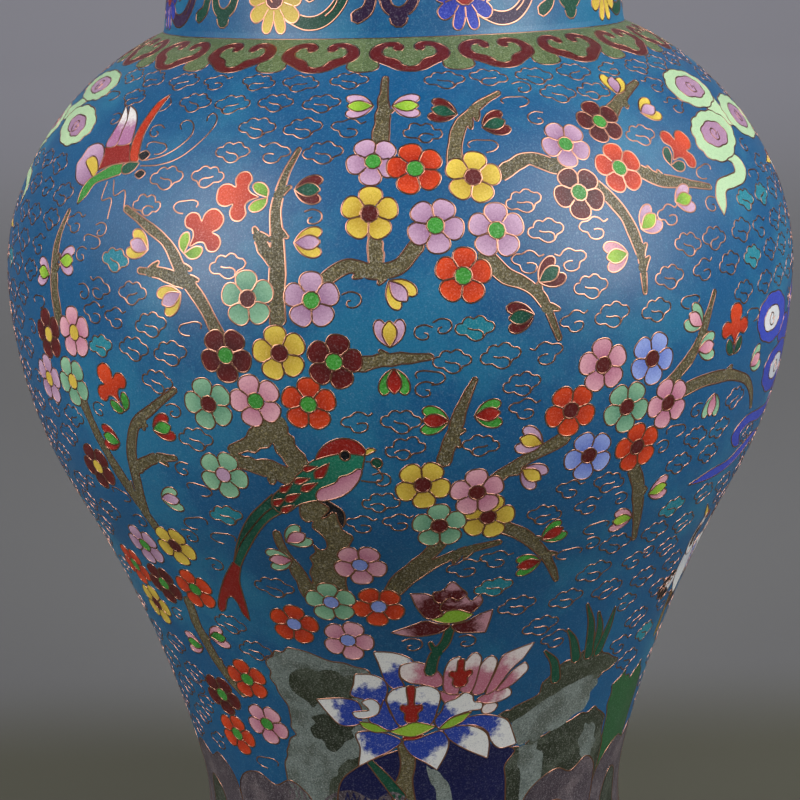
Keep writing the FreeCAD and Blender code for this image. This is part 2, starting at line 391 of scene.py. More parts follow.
def mixed(graph, factor, first, second):
    return graph.node("ShaderNodeMix", {"data_type": "RGBA"}, {0: factor, 6: first, 7: second}).outputs[2]


def noiseAt(graph, scale, detail=2.0, roughness=0.5, stretch=None):
    place = graph.node("ShaderNodeTexCoord").outputs["Object"]
    if stretch:
        place = graph.node("ShaderNodeMapping", None, {"Vector": place, "Scale": stretch}).outputs[0]
    sockets = {"Vector": place, "Scale": scale, "Detail": detail, "Roughness": roughness}
    return graph.value("ShaderNodeTexNoise", None, sockets)


def between(graph, value, low, high):
    # 0 below low, 1 above high
    eased = {"interpolation_type": "SMOOTHSTEP"}
    return graph.value("ShaderNodeMapRange", eased, {0: value, 1: low, 2: high})


def attribute(graph, name):
    return graph.value("ShaderNodeAttribute", {"attribute_name": name}, None, 2)


def finishMaterial(graph, sockets, bump=None):
    if bump is not None:
        marks = {"Strength": enamelSettings["bumpStrength"], "Height": bump[0], "Distance": bump[1]}
        sockets["Normal"] = graph.node("ShaderNodeBump", None, marks).outputs[0]
    shader = graph.node("ShaderNodeBsdfPrincipled", None, sockets)
    graph.node("ShaderNodeOutputMaterial", None, {0: shader.outputs[0]})


def enamelFinish(name, deep, pale, grain=0.5, flecks=None, fleckAmount=0.0, meeting=None, drift=None,
                 driftScale=26.0, gloss=0.28):
    # Coloured glass: deep and pale are its colours at the two ends of "shade",
    # and drift is a colour that it wanders to over wide patches.
    material, graph = materialGraph(name + " enamel")
    given = enamelSettings
    clouds = noiseAt(graph, given["cloudScale"], 3.0)
    grains = noiseAt(graph, given["grainScale"], 2.0, 0.7)
    shade = attribute(graph, "shade")
    if meeting:  # where along "shade" the two colours run into each other
        run = noiseAt(graph, given["runScale"], 3.0, 0.6)
        ragged = (run - 0.5) * given["runSpread"] + (grains - 0.5) * given["grainSpread"]
        shade = between(graph, shade + ragged, *meeting)
    else:
        tone = attribute(graph, "tone") * given["toneSpread"]
        shade = shade + (clouds - 0.5) * given["cloudSpread"] + tone
    colour = mixed(graph, shade, deep, pale)
    if drift:
        wide = noiseAt(graph, driftScale, 5.0, 0.62, given["driftStretch"])
        for which, other in (("driftLight", drift), ("driftDark", tinted(deep, -0.25))):
            low, high, amount = given[which]
            colour = mixed(graph, between(graph, wide, low, high) * amount, colour, other)
    colour = mixed(graph, between(graph, grains, 0.5, 0.75) * grain, colour, tinted(pale, 0.22))
    colour = mixed(graph, between(graph, grains, 0.5, 0.28) * grain, colour, tinted(deep, -0.4))
    if flecks:
        spots = noiseAt(graph, given["fleckScale"], 1.0, 0.6)
        colour = mixed(graph, between(graph, spots, 0.6, 0.7) * fleckAmount, colour, flecks)
    rough = given["roughness"] + (clouds - 0.5) * given["roughnessSpread"]
    sockets = {"Base Color": colour, "Roughness": rough, "IOR": given["ior"], "Specular IOR Level": gloss}
    finishMaterial(graph, sockets, (noiseAt(graph, given["pitScale"], 3.0, 0.6), given["pitDepth"]))
    return material


# name: the deep colour, the pale colour, and how grainy the glass is
enamelColours = {
    "lilac": (rgb(150, 108, 142), rgb(200, 164, 190), 0.35),
    "orange": (rgb(158, 34, 12), rgb(214, 70, 26), 0.4),
    "yellow": (rgb(176, 142, 46), rgb(224, 196, 78), 0.35),
    "maroon": (rgb(60, 12, 14), rgb(96, 22, 22), 0.35),
    "celadon": (rgb(86, 138, 112), rgb(142, 188, 152), 0.35),
    "pink": (rgb(176, 104, 132), rgb(222, 164, 176), 0.35),
    "periwinkle": (rgb(92, 112, 192), rgb(150, 168, 226), 0.35),
    "grass_green": (rgb(24, 104, 36), rgb(72, 158, 58), 0.6),
    "lime": (rgb(92, 142, 30), rgb(158, 196, 62), 0.4),
    "dark_green": (rgb(8, 56, 44), rgb(20, 84, 60), 0.4),
    "bird_green": (rgb(8, 52, 40), rgb(28, 118, 92), 0.4),
    "cobalt": (rgb(22, 26, 120), rgb(54, 72, 180), 0.4),
    "white": (rgb(176, 182, 196), rgb(232, 232, 228), 0.25),
    "black": (rgb(10, 10, 16), rgb(26, 26, 34), 0.3),
    "red": (rgb(112, 16, 12), rgb(160, 32, 22), 0.4),
    "purple": (rgb(34, 18, 46), rgb(62, 36, 74), 0.4),
    "teal": (rgb(18, 112, 134), rgb(44, 136, 150), 0.5),
    "pale_green": (rgb(134, 180, 138), rgb(186, 214, 170), 0.3),
    "navy": (rgb(12, 14, 58), rgb(24, 32, 96), 0.4),
    "leaf_green": (rgb(22, 66, 38), rgb(46, 104, 58), 0.5),
}


# the last colour lies over these in patches
rockColours = {
    "rock_dark": (rgb(34, 42, 30), rgb(60, 66, 48), rgb(84, 92, 80)),
    "rock_grey": (rgb(84, 96, 92), rgb(128, 138, 134), rgb(66, 72, 62)),
    "rock_purple": (rgb(52, 44, 54), rgb(88, 76, 84), rgb(116, 104, 108)),
}
# the last pair says where the two colours meet
twoColours = {
    "lotus_blue": (rgb(34, 62, 158), rgb(226, 226, 224), (0.5, 0.72)),
    "lotus_pink": (rgb(182, 108, 128), rgb(226, 214, 212), (0.45, 0.85)),
    "lotus_maroon": (rgb(82, 14, 18), rgb(192, 140, 152), (0.45, 0.8)),
    "wing": (rgb(170, 110, 150), rgb(230, 224, 220), (0.4, 0.8)),
}
# the last two are a colour of flecks and how much they show
fleckedColours = {
    "bark": (rgb(60, 54, 36), rgb(108, 98, 66), 1.0, rgb(168, 154, 108), 0.5),
    "olive": (rgb(66, 84, 50), rgb(112, 130, 82), 0.8, rgb(140, 150, 104), 0.4),
    "lining": (rgb(20, 92, 128), rgb(54, 132, 156), 0.6, rgb(96, 160, 172), 0.5),
}


def enamelMaterials():
    plain = enamelColours | fleckedColours
    made = {name: enamelFinish(name, *colours) for name, colours in plain.items()}
    for name, (deep, pale, drift) in rockColours.items():
        made[name] = enamelFinish(name, deep, pale, 0.9, drift=drift, driftScale=110.0)
    for name, (deep, pale, meeting) in twoColours.items():
        made[name] = enamelFinish(name, deep, pale, 0.3, meeting=meeting)
    blue = (rgb(6, 80, 126), rgb(28, 106, 146), 0.28, rgb(68, 140, 168), 0.2)
    made["blue"] = enamelFinish("blue", *blue, drift=rgb(32, 116, 150), gloss=0.5)
    return made


def metalFinish(name, colour, worn, roughness, scale, depth):
    # the pattern is rubbed marks, with dull patches between the bright ones
    material, graph = materialGraph(name)
    marks = noiseAt(graph, scale, 4.0, 0.6)
    patches = noiseAt(graph, scale * 0.08, 3.0)
    wear = between(graph, patches + (marks - 0.5) * 0.6, 0.42, 0.68)
    rough = roughness + wear * 0.2 + (marks - 0.5) * 0.12
    sockets = {"Base Color": mixed(graph, wear, colour, worn), "Roughness": rough, "Metallic": 1.0}
    finishMaterial(graph, sockets, (marks, depth))
    return material


def plainMetal(name, colour, roughness):
    material, graph = materialGraph(name)
    finishMaterial(graph, {"Base Color": colour, "Roughness": roughness, "Metallic": 1.0})
    return material


finishes = enamelMaterials()
wireFinish = plainMetal("copper wire", rgb(190, 137, 114), 0.28)
giltFinish = metalFinish("gilt brass", rgb(222, 178, 96), rgb(178, 130, 66), 0.26, 900.0, 0.00003)
ringFinish = metalFinish("copper rings", rgb(206, 146, 116), rgb(168, 112, 88), 0.28, 1200.0, 0.00002)
copperFinish = metalFinish("raised copper", rgb(196, 124, 92), rgb(142, 84, 62), 0.34, 500.0, 0.00004)
print("finishes", len(finishes) + 4)


# ---- drawing on the chart ----
chartSettings = {
    "stretch": 1.5,  # mm that a degree is taken as, where cells are cut and tested
    "step": 0.35,
    "lattice": 2.3,  # between the points inside a large cell
    "edgeGap": 0.35,  # how near the cell's edge they come, as a share of that
    "cutWithin": 1e-5,
    "shortestRun": 3,  # a wire with no more points than this is left out
    "capPoints": 7,
    "wobbleStops": 9,
    "maskCell": 0.25,
    "cellLift": 0.03,
    "cellDepth": 0.12,
    "mergeWithin": 0.001,
    "seed": 7,
}


def unitAt(travel):
    # how many mm a degree is, there
    return np.interp(travel, travels, outline[:, 0]) * math.radians(1)


def spread(points):
    # chart places as flat mm, for cutting and testing
    points = np.asarray(points, float)
    return np.column_stack([points[:, 0] * chartSettings["stretch"], -points[:, 1]])


def wound(flat):
    # a closed line of flat mm that goes round anticlockwise
    x, y = flat.T
    area = (x * np.roll(y, -1) - y * np.roll(x, -1)).sum()
    return flat if area > 0 else flat[::-1]


def gathered(points):
    points = np.asarray(points, float)
    return np.column_stack([points[:, 0] / chartSettings["stretch"], -points[:, 1]])


def curve(points):
    # an open smooth line
    return np.array(smoothPiece(points, chartSettings["step"], 0.5))


def loop(points):
    # a closed smooth line
    points = [np.array(p, float) for p in points]
    return np.array(smoothSpans([points[-1]] + points + points[:2], chartSettings["step"], 0.5))


def shape(*runs):
    # a closed line of smooth runs that meet at corners
    return np.concatenate([curve(run)[:-1] for run in runs])


def mirrored(points):
    return [(-u, v) for u, v in reversed(points)]


def symmetric(points):
    # a closed smooth line from its right half, whose first and last points lie on the middle line
    return loop(points + mirrored(points)[1:-1])


def pointed(points):
    # like symmetric, but with corners where it meets the middle line
    return shape(points, mirrored(points))


def circle(radius, u=0.0, v=0.0, count=20):
    turns = np.arange(count) * 2 * math.pi / count
    return np.column_stack([u + radius * np.cos(turns), v + radius * np.sin(turns)])


def along(points):
    # a smooth line of chart places, drawn in true mm round its first place
    start = points[0]
    unit = unitAt(start[1])
    line = curve([((a - start[0]) * unit, t - start[1]) for a, t in points])
    return np.column_stack([line[:, 0] / unit + start[0], line[:, 1] + start[1]])


def stroke(line, widths, wobble=0.0, seed=0):
    # the outline of a line of chart places drawn with a changing width, in mm
    unit = unitAt(line[:, 1])
    flat = np.column_stack([line[:, 0] * unit.mean(), -line[:, 1]])
    steps = np.hypot(*np.diff(flat, axis=0).T)
    share = np.concatenate([[0.0], np.cumsum(steps)]) / max(steps.sum(), 1e-9)
    half = np.interp(share, np.linspace(0, 1, len(widths)), widths) / 2
    ahead = np.gradient(flat, axis=0)
    ahead /= np.maximum(np.hypot(*ahead.T), 1e-9)[:, None]
    side = np.column_stack([-ahead[:, 1], ahead[:, 0]])
    hand = np.random.default_rng(seed)
    stops = chartSettings["wobbleStops"]
    edges = []
    for way in (1, -1):
        rough = np.interp(share, np.linspace(0, 1, stops), hand.uniform(-1, 1, stops)) * wobble
        edges.append(flat + side * (way * (half + rough * half))[:, None])
    turns = np.linspace(0, math.pi, chartSettings["capPoints"])[1:-1]
    caps = [
        [flat[at] + half[at] * way * (math.cos(t) * side[at] + math.sin(t) * ahead[at]) for t in turns]
        for at, way in ((-1, 1), (0, -1))
    ]
    found = np.concatenate([edges[0], caps[0], edges[1][::-1], caps[1]])
    return np.column_stack([found[:, 0] / unit.mean(), -found[:, 1]])


def inside(points, closed):
    # which points lie inside a closed line, both in flat mm
    x, y = points[:, 0][:, None], points[:, 1][:, None]
    ax, ay = closed[:, 0][None], closed[:, 1][None]
    bx, by = np.roll(ax, -1, 1), np.roll(ay, -1, 1)
    spans = (ay > y) != (by > y)
    crossing = (bx - ax) * (y - ay) / np.where(by == ay, 1e-12, by - ay) + ax
    return (spans & (x < crossing)).sum(1) % 2 == 1


class Pen:
    # draws in mm round a place on the chart: u to the right, v up, turned anticlockwise
    def __init__(self, angle, travel, turn=0.0, size=1.0, flip=False):
        self.angle = angle
        self.travel = travel
        self.turn = math.radians(turn)
        self.size = size
        self.flip = flip

    def at(self, points):
        points = np.asarray(points, float) * self.size
        u, v = points[:, 0], points[:, 1]
        if self.flip:
            u = -u
        c, s = math.cos(self.turn), math.sin(self.turn)
        travel = self.travel - (u * s + v * c)
        return np.column_stack([self.angle + (u * c - v * s) / unitAt(travel), travel])

    def turned(self, turn):
        return Pen(self.angle, self.travel, math.degrees(self.turn) + turn, self.size, self.flip)

    def moved(self, u, v, turn):
        (angle, travel), = self.at([(u, v)])
        way = -1 if self.flip else 1
        return Pen(angle, travel, math.degrees(self.turn) + way * turn, self.size, self.flip)


class Chart:
    # what has been drawn so far; a motif drawn earlier lies over a later one
    def __init__(self):
        self.cells = {}
        self.wires = []
        self.waiting = []
        self.placed = []
        cell = chartSettings["maskCell"]
        self.columns = round(360 * chartSettings["stretch"] / cell)
        self.rows = round((endTravel - topTravel) / cell) + 2
        self.mask = np.zeros((self.rows, self.columns), bool)

    def gridOf(self, flat):
        cell = chartSettings["maskCell"]
        column = np.floor(flat[:, 0] / cell).astype(int) % self.columns
        row = np.clip(np.floor((-flat[:, 1] - topTravel) / cell).astype(int), 0, self.rows - 1)
        return row, column

    def covered(self, places):
        row, column = self.gridOf(spread(places))
        return self.mask[row, column]

    def blocked(self, places):
        return bool(self.covered(places).any())

    def settle(self):
        # what has been drawn since the last call now covers what comes after
        cell = chartSettings["maskCell"]
        for flat in self.waiting:
            low, high = flat.min(0) - cell, flat.max(0) + cell
            self.placed.append((low, high, flat))
            xs = np.arange(low[0], high[0] + cell, cell)
            ys = np.arange(low[1], high[1] + cell, cell)
            grid = np.array(np.meshgrid(xs, ys)).reshape(2, -1).T
            row, column = self.gridOf(grid[inside(grid, flat)])
            self.mask[row, column] = True
        self.waiting = []

    def cell(self, finish, outlines, shade=0.5, tone=None):
        # fills the outlines, in chart places, less whatever already covers them
        flats = [wound(spread(o)) for o in outlines]
        low = np.min([f.min(0) for f in flats], axis=0)
        high = np.max([f.max(0) for f in flats], axis=0)
        above = [f for lo, hi, f in self.placed if (lo < high).all() and (hi > low).all()]
        middle = (low + high) / 2
        points, faces = [], []
        for flat in flats + above:
            faces.append(list(range(len(points), len(points) + len(flat))))
            points += list(flat - middle)
        gap = chartSettings["lattice"]
        xs = np.arange(low[0] + gap / 2, high[0], gap)
        ys = np.arange(low[1] + gap / 2, high[1], gap)
        if len(xs) and len(ys):
            grid = np.array(np.meshgrid(xs, ys)).reshape(2, -1).T
            grid[:, 0] += (np.round(grid[:, 1] / gap) % 2) * gap / 2
            held = np.zeros(len(grid), bool)
            for flat in flats:
                held |= inside(grid, flat)
            grid = grid[held]
            edge = np.concatenate(flats)
            if len(grid):
                near = np.hypot(*(grid[:, None] - edge[None]).transpose(2, 0, 1)).min(1)
                points += list(grid[near > gap * chartSettings["edgeGap"]] - middle)
        vectors = [Vector(p) for p in points]
        found = geometry.delaunay_2d_cdt(vectors, [], faces, 1, chartSettings["cutWithin"], True)
        own = set(range(len(flats)))
        kept = [f for f, ids in zip(found[2], found[5]) if ids and set(ids) <= own]
        if kept:
            places = gathered(np.array([tuple(v) for v in found[0]]) + middle)
            self.cells.setdefault(finish, []).append((places, kept, shade, tone))

    def wire(self, places, closed=False, hidden=()):
        # a wire along chart places, left out where something covers it
        places = np.asarray(places, float)
        out = self.covered(places)
        if hidden:
            flat = spread(places)
            for other in hidden:
                out |= inside(flat, spread(other))
        if not out.any():
            self.wires.append((places[::2], closed))
            return
        if closed:
            first = int(np.argmax(out))
            places, out = np.roll(places, -first, 0), np.roll(out, -first)
            places, out = np.vstack([places, places[:1]]), np.append(out, True)
        run = []
        for place, gone in zip(places, out):
            if gone:
                self.keepRun(run)
                run = []
            else:
                run.append(place)
        self.keepRun(run)

    def keepRun(self, run):
        if len(run) > chartSettings["shortestRun"]:
            thinned = run[:-1:2] + run[-1:]
            self.wires.append((np.array(thinned), False))

    def area(self, finish, outlines, shade=0.5, tone=None, wired=True):
        # filled outlines with a wire round their common edge
        self.cell(finish, outlines, shade, tone)
        if wired:
            for index, one in enumerate(outlines):
                others = [o for i, o in enumerate(outlines) if i != index]
                self.wire(one, True, others)
        self.waiting += [wound(spread(o)) for o in outlines]

    def paint(self, finish, outlines, shade=0.5, wired=True):
        # an area that covers what comes after it
        self.area(finish, outlines, shade, wired=wired)
        self.settle()


chart = Chart()
draw = random.Random(chartSettings["seed"])


# ---- motifs ----
petal = symmetric([(0, 1.3), (1.3, 1.9), (2.35, 3.2), (2.5, 4.4), (1.95, 5.5), (0.95, 6.0), (0, 6.1)])
budHeart = pointed([(0, 0), (0.9, 1.3), (1.6, 2.9), (1.4, 4.5), (0, 6.1)])
budSide = shape(
    [(0, 0), (1.3, 0.7), (2.6, 1.9), (3.4, 3.6), (3.4, 5.2), (2.6, 6.2), (1.6, 6.0), (0.9, 5.0)],
    [(0.9, 5.0), (0, 3.0), (0, 0)],
)
youngLeaf = shape([(0, 0), (2.0, 0.2), (3.4, 1.6), (3.5, 3.4), (2.6, 4.3)], [(2.6, 4.3), (1.0, 3.0), (0, 0)])
youngFlower = symmetric([
    (0, 2.2), (0.9, 4.2), (2.2, 5.2), (4.3, 4.6), (5.9, 5.8), (5.7, 7.7), (4.0, 8.7), (2.0, 8.2),
    (2.7, 9.8), (2.4, 11.6), (1.2, 12.6), (0, 12.7),
])
motifSettings = {"petals": 5, "heartRadius": 1.95, "budSize": 0.96}


def blossom(angle, travel, petalFinish, heartFinish, turn=0.0, size=1.0):
    pen = Pen(angle, travel, turn, size)
    chart.paint(heartFinish, [pen.at(circle(motifSettings["heartRadius"]))], shade=0.6)
    for index in range(motifSettings["petals"]):
        one = pen.turned(index * 360 / motifSettings["petals"])
        heart, tip = one.at([(0, 1.0), (0, 6.2)])
        chart.area(petalFinish, [one.at(petal)], shade=(heart, tip), tone=draw.uniform(-1, 1))
    chart.settle()


def leafPair(finish, leaf, place, paleEnd):
    for flip in (False, True):
        side = Pen(*place, flip)
        chart.area(finish, [side.at(leaf)], shade=tuple(side.at([(0, 0), paleEnd])))
    chart.settle()


def bud(angle, travel, sideFinish, heartFinish, turn):
    place = (angle, travel, turn, motifSettings["budSize"])
    pen = Pen(*place)
    chart.paint(heartFinish, [pen.at(budHeart)], shade=tuple(pen.at([(0, 0), (0, 5)])))
    leafPair(sideFinish, budSide, place, (2, 5))


def youngBloom(angle, travel, leafFinish, turn, size):
    leafPair(leafFinish, youngLeaf, (angle, travel, turn, size), (3, 5))
    pen = Pen(angle, travel, turn, size)
    chart.paint("orange", [pen.at(youngFlower)], shade=tuple(pen.at([(0, 3), (0, 12)])))


branchWidths = {"first": [1.3, 2.3, 3.0, 3.3], "last": [3.3, 3.0, 2.3, 1.3], "none": [3.1, 3.1]}
thorn = curve([(0, 0), (1.4, 0.2), (2.9, 0.1)])


def branches(lines, seed):
    # lines of chart places that grow into one another, each with which of its ends is a tip
    outlines = []
    rough = random.Random(seed)
    for index, (tip, line) in enumerate(lines):
        way = along(line)
        outlines.append(stroke(way, branchWidths[tip], wobble=0.2, seed=seed * 17 + index))
        for spur in range(2 if len(line) > 3 else 1):
            at = rough.randint(len(way) // 5, len(way) * 4 // 5)
            ahead = way[at] - way[at - 1]
            turn = math.degrees(math.atan2(-ahead[1], ahead[0] * unitAt(way[at][1])))
            pen = Pen(way[at][0], way[at][1], turn + rough.choice((48, -228)))
            outlines.append(stroke(pen.at(thorn), [2.4, 1.7, 0.8], seed=spur))
    chart.paint("bark", outlines)


# ---- the shoulder's border and the neck's scrolls ----
borderSettings = {
    "heads": 20,  # round the shoulder
    "firstHead": 3.0,
    "headTravel": 7.6,
    "headPitch": 20.0,  # the width that one head is drawn for
    "fieldTop": 0.35,
    "fieldWidth": 0.999,  # short of its neighbour by a hair
    "jointWires": (-0.13, 0.17),
    "neckFlowers": 8,
    "firstFlower": -28.5,
    "flowerToHook": 27.2,
    "flowerTravel": -9.0,
    "lipLappets": 48,
    "neckBlossoms": 16,
    "footLappets": 24,
    "lappetHeight": 17.0,
    "beads": 60,
}
headLine = [(2.3, 2.7), (2.5, 3.9), (4.4, 4.3), (6.3, 3.2), (7.4, 0.9), (7.0, -0.9), (5.6, -2.1), (4.0, -3.0),
    (2.4, -4.7), (0, -5.4)]


def shoulderHead(angle):
    travel, top = borderSettings["headTravel"], borderSettings["fieldTop"]
    pitch = 360 / borderSettings["heads"]
    size = pitch * unitAt(travel) / borderSettings["headPitch"]
    pen = Pen(angle, travel, 0, size)
    line = curve(headLine + mirrored(headLine)[1:])
    widths = [2.6, 2.1, 2.1, 2.7, 3.1, 2.6, 3.1, 2.2, 1.8, 2.2, 3.1, 2.6, 3.1, 2.7, 2.1, 2.1, 2.6]
    chart.paint("maroon", [stroke(pen.at(line), widths)], shade=0.9)
    half = pitch / 2 * borderSettings["fieldWidth"]
    low = curve([(-12.5, -6.2), (-10.2, -6.2), (-8.4, -5.8), (-7.1, -4.6), (-6.9, -2.4), (-5.4, -2.8),
        (-3.6, -3.8), (-2.0, -4.9), (0, -5.2)])
    lowLine = pen.at(np.concatenate([low[:-1], np.array(mirrored([tuple(p) for p in low]))]))
    lowLine = lowLine[np.abs(lowLine[:, 0] - angle) < half]
    ends = [(angle - half, lowLine[0][1]), (angle + half, lowLine[-1][1])]
    lowLine = np.vstack([ends[:1], lowLine, ends[1:]])
    right = [(angle + half, t) for t in np.linspace(lowLine[-1][1], top, 12)[1:-1]]
    upper = [(a, top) for a in np.linspace(angle + half, angle - half, 12)]
    left = [(angle - half, t) for t in np.linspace(top, lowLine[0][1], 12)[1:-1]]
    field = np.concatenate([lowLine, right, upper, left])
    chart.cell("olive", [field])
    chart.wire(lowLine)
    chart.waiting.append(wound(spread(field)))
    chart.settle()


def neckFlower(angle, finish, heartFinish, leafFinish):
    # a lobed flower on the neck with a scroll that curls away on its right
    travel = borderSettings["flowerTravel"]
    pen = Pen(angle, travel)
    chart.area(heartFinish, [pen.at(circle(2.4))], shade=0.7)
    chart.wire(pen.at(curve([(0.2, 0.0), (0.9, 0.4), (0.5, 1.2), (-0.6, 1.0), (-1.1, 0.0), (-0.3, -1.1)])))
    chart.settle()
    lobes = [  # turn, length and width
        (196, 8.2, 2.5), (164, 8.2, 2.5), (232, 7.8, 3.4), (128, 7.8, 3.4), (272, 7.0, 3.8), (88, 7.0, 3.8),
        (312, 7.0, 3.6), (48, 7.0, 3.6), (0, 7.6, 3.8),
    ]
    outlines = []
    for turn, length, width in lobes:
        half = width / 2
        side = [(half * 0.8, 2.6), (half, length - half), (half * 0.7, length - 0.4)]
        outlines.append(pen.turned(turn).at(symmetric([(0, 1.0), *side, (0, length)])))
    for turn in (180, 213, 147, 252, 108, 292, 68, 336, 24):
        chart.wire(pen.turned(turn).at([(0, 2.8 + 0.35 * i) for i in range(8)]))
    chart.paint(finish, outlines, shade=tuple(pen.at([(0, 2), (0, -8)])))
    scroll = curve([(4.0, -4.0), (8.5, -5.6), (12.1, -5.0), (15.2, -2.4), (17.0, 1.2), (16.0, 5.4),
        (12.6, 7.2), (9.2, 5.8), (8.0, 2.8), (9.0, 0.4)])
    chart.wire(pen.at(curve([(12.8, -4.0), (14.6, -2.4), (15.8, 0.2), (15.9, 3.0)])))
    widths = [2.6, 3.0, 3.0, 2.8, 2.6, 2.4, 2.1, 1.9, 2.6]
    chart.paint(leafFinish, [stroke(pen.at(scroll), widths)], shade=0.4)
    upper = Pen(angle, travel - 12.5)
    chart.paint(leafFinish, [upper.at(pointed([(0, 4.6), (2.6, 2.4), (2.2, 0), (0, -1.6)]))])


def neckHook(angle, finish):
    # a hook and a looped fork that hang between two flowers
    pen = Pen(angle, borderSettings["flowerTravel"])
    hook = curve([(-4.6, 13.0), (-3.6, 8.6), (-3.4, 4.4), (-3.6, 0.4), (-4.6, -2.8), (-6.9, -4.3)])
    fork = curve([(-1.6, 9.0), (-1.2, 4.6), (-0.9, 0.6), (0.3, -2.6), (2.7, -3.5), (5.2, -2.0), (6.0, 1.0),
        (4.4, 3.0), (3.0, 1.6)])
    outlines = [
        stroke(pen.at(hook), [1.4, 2.2, 2.4, 2.4, 2.4, 3.0]),
        stroke(pen.at(fork), [1.4, 2.1, 2.2, 2.4, 2.4, 2.4, 2.2, 2.0]),
        pen.at(circle(2.1, 2.4, -4.7)),
    ]
    chart.paint(finish, outlines, shade=0.3)


def neckBand():
    kinds = (("yellow", "maroon", "dark_green", "purple"), ("cobalt", "red", "purple", "dark_green"))
    for index in range(borderSettings["neckFlowers"]):
        angle = borderSettings["firstFlower"] + 360 / borderSettings["neckFlowers"] * index
        *flower, hook = kinds[index % 2]
        neckFlower(angle, *flower)
        neckHook(angle + borderSettings["flowerToHook"], hook)


def ringOf(node, count, height=None):
    # pens spaced evenly round the middle of a coat, sized to a motif of that height
    start, end = bandOf(node)
    size = (end - start) / height if height else 1.0
    for index in range(count):
        yield index, Pen(360 / count * index, (start + end) / 2, 0, size)


lappetHeart = pointed([(0, -4.6), (2.2, -1.6), (2.4, 2.4), (0, 5.2)])
lappetLeaf = pointed([(0, -7.6), (3.6, -4.0), (5.0, 1.0), (4.4, 6.2), (0, 7.6)])
lipLappet = pointed([(0, 3.2), (3.0, 2.4), (3.4, 0.0), (0, -3.2)])
neckCurl = curve([(0.0, -6.0), (2.4, -4.5), (3.6, -1.0), (2.6, 2.6), (0.6, 3.2), (0.2, 1.4)])


def lipBand():
    for _, pen in ringOf("lip_enamel", borderSettings["lipLappets"]):
        chart.paint("olive", [pen.at(lipLappet)])
    count = borderSettings["neckBlossoms"]
    for index, pen in ringOf("upper_neck_enamel", count):
        finish = ("lilac", "yellow", "orange", "celadon")[index % 4]
        blossom(pen.angle, pen.travel, finish, "grass_green", size=0.95)
        for flip in (False, True):
            side = Pen(pen.angle + 180 / count, pen.travel, 0, 1.0, flip)
            chart.paint("dark_green", [stroke(side.at(neckCurl), [1.5, 2.2, 2.2, 1.8])])


def footBand():
    # lappets round the foot and a row of beads over the foot ring
    for index, pen in ringOf("foot_enamel", borderSettings["footLappets"], borderSettings["lappetHeight"]):
        chart.paint("red" if index % 2 else "yellow", [pen.at(lappetHeart)])
        chart.paint("grass_green" if index % 2 else "pale_green", [pen.at(lappetLeaf)])
    for index, pen in ringOf("base_border_enamel", borderSettings["beads"]):
        chart.paint("olive" if index % 2 else "maroon", [pen.at(circle(2.1, count=14))])


for travel in borderSettings["jointWires"]:
    chart.wire([(a, travel) for a in np.arange(-180, 180.5, 0.5)])
for head in range(borderSettings["heads"]):
    shoulderHead(borderSettings["firstHead"] + 360 / borderSettings["heads"] * head)
neckBand()
lipBand()
footBand()
print("borders")


# ---- the blossoming branches ----
# Each blossom is (angle, travel, petals, heart). Where two overlap, the first lies on top.
blossoms = [
    (2.4, 41, "orange", "grass_green"),
    (-3.4, 39, "lilac", "grass_green"),
    (10.2, 43.5, "yellow", "maroon"),
    (-3.8, 51, "yellow", "maroon"),
    (4.6, 54, "lilac", "grass_green"),
    (12.4, 55.7, "lilac", "grass_green"),
    (7.7, 65, "orange", "grass_green"),
    (32.5, 32, "maroon", "grass_green"),
    (25, 37, "lilac", "grass_green"),
    (32.4, 44, "orange", "grass_green"),
    (24.8, 48.7, "maroon", "grass_green"),
    (-19.2, 69.5, "celadon", "maroon"),
    (-11, 69.5, "lilac", "grass_green"),
    (-22.4, 82, "maroon", "grass_green"),
    (-15.2, 81, "yellow", "maroon"),
    (-8.4, 82.7, "maroon", "grass_green"),
    (-25.5, 93.5, "celadon", "maroon"),
    (-18.8, 92, "pink", "grass_green"),
    (-11.9, 92.3, "orange", "grass_green"),
    (-25.1, 110.8, "celadon", "lilac"),
    (-48.3, 81.3, "pink", "yellow"),
    (-55.4, 83.5, "maroon", "yellow"),
    (-50.4, 93.5, "celadon", "yellow"),
    (-57.7, 95, "lilac", "yellow"),
    (-50.3, 115.5, "maroon", "yellow"),
    (-39.2, 135, "yellow", "maroon"),
    (-47.8, 138, "lilac", "grass_green"),
    (-39.5, 149, "orange", "grass_green"),
    (-48.5, 150.5, "maroon", "grass_green"),
    (-56.8, 148, "orange", "grass_green"),
    (-56.3, 160, "yellow", "maroon"),
    (-35, 176, "orange", "grass_green"),
    (-44.8, 184, "maroon", "grass_green"),
    (-33.3, 189.5, "pink", "grass_green"),
    (-44.2, 196, "orange", "grass_green"),
    (-20.4, 155, "orange", "periwinkle"),
    (-12.8, 147, "celadon", "periwinkle"),
    (-11, 159, "pink", "periwinkle"),
    (-5, 148, "orange", "periwinkle"),
    (-7.2, 134.7, "pink", "periwinkle"),
    (2.2, 112, "yellow", "maroon"),
    (9.5, 114.7, "pink", "maroon"),
    (4.5, 123.3, "celadon", "maroon"),
    (11.3, 121.7, "yellow", "maroon"),
    (25.9, 87, "pink", "maroon"),
    (33.5, 87.3, "periwinkle", "maroon"),
    (21.6, 96.5, "orange", "maroon"),
    (30, 97.7, "celadon", "maroon"),
    (37.1, 98.7, "pink", "maroon"),
    (25, 108.3, "periwinkle", "maroon"),
    (32.8, 108.3, "orange", "maroon"),
]

# (angle, travel, leaves, turn)
youngBlooms = [
    (-17.6, 47.4, "lime", 88),
    (-28.6, 60.5, "lime", -38),
    (-39.8, 98.0, "grass_green", 30),
    (42.0, 45.0, "dark_green", -55),
    (50.0, 91.0, "dark_green", 0),
]

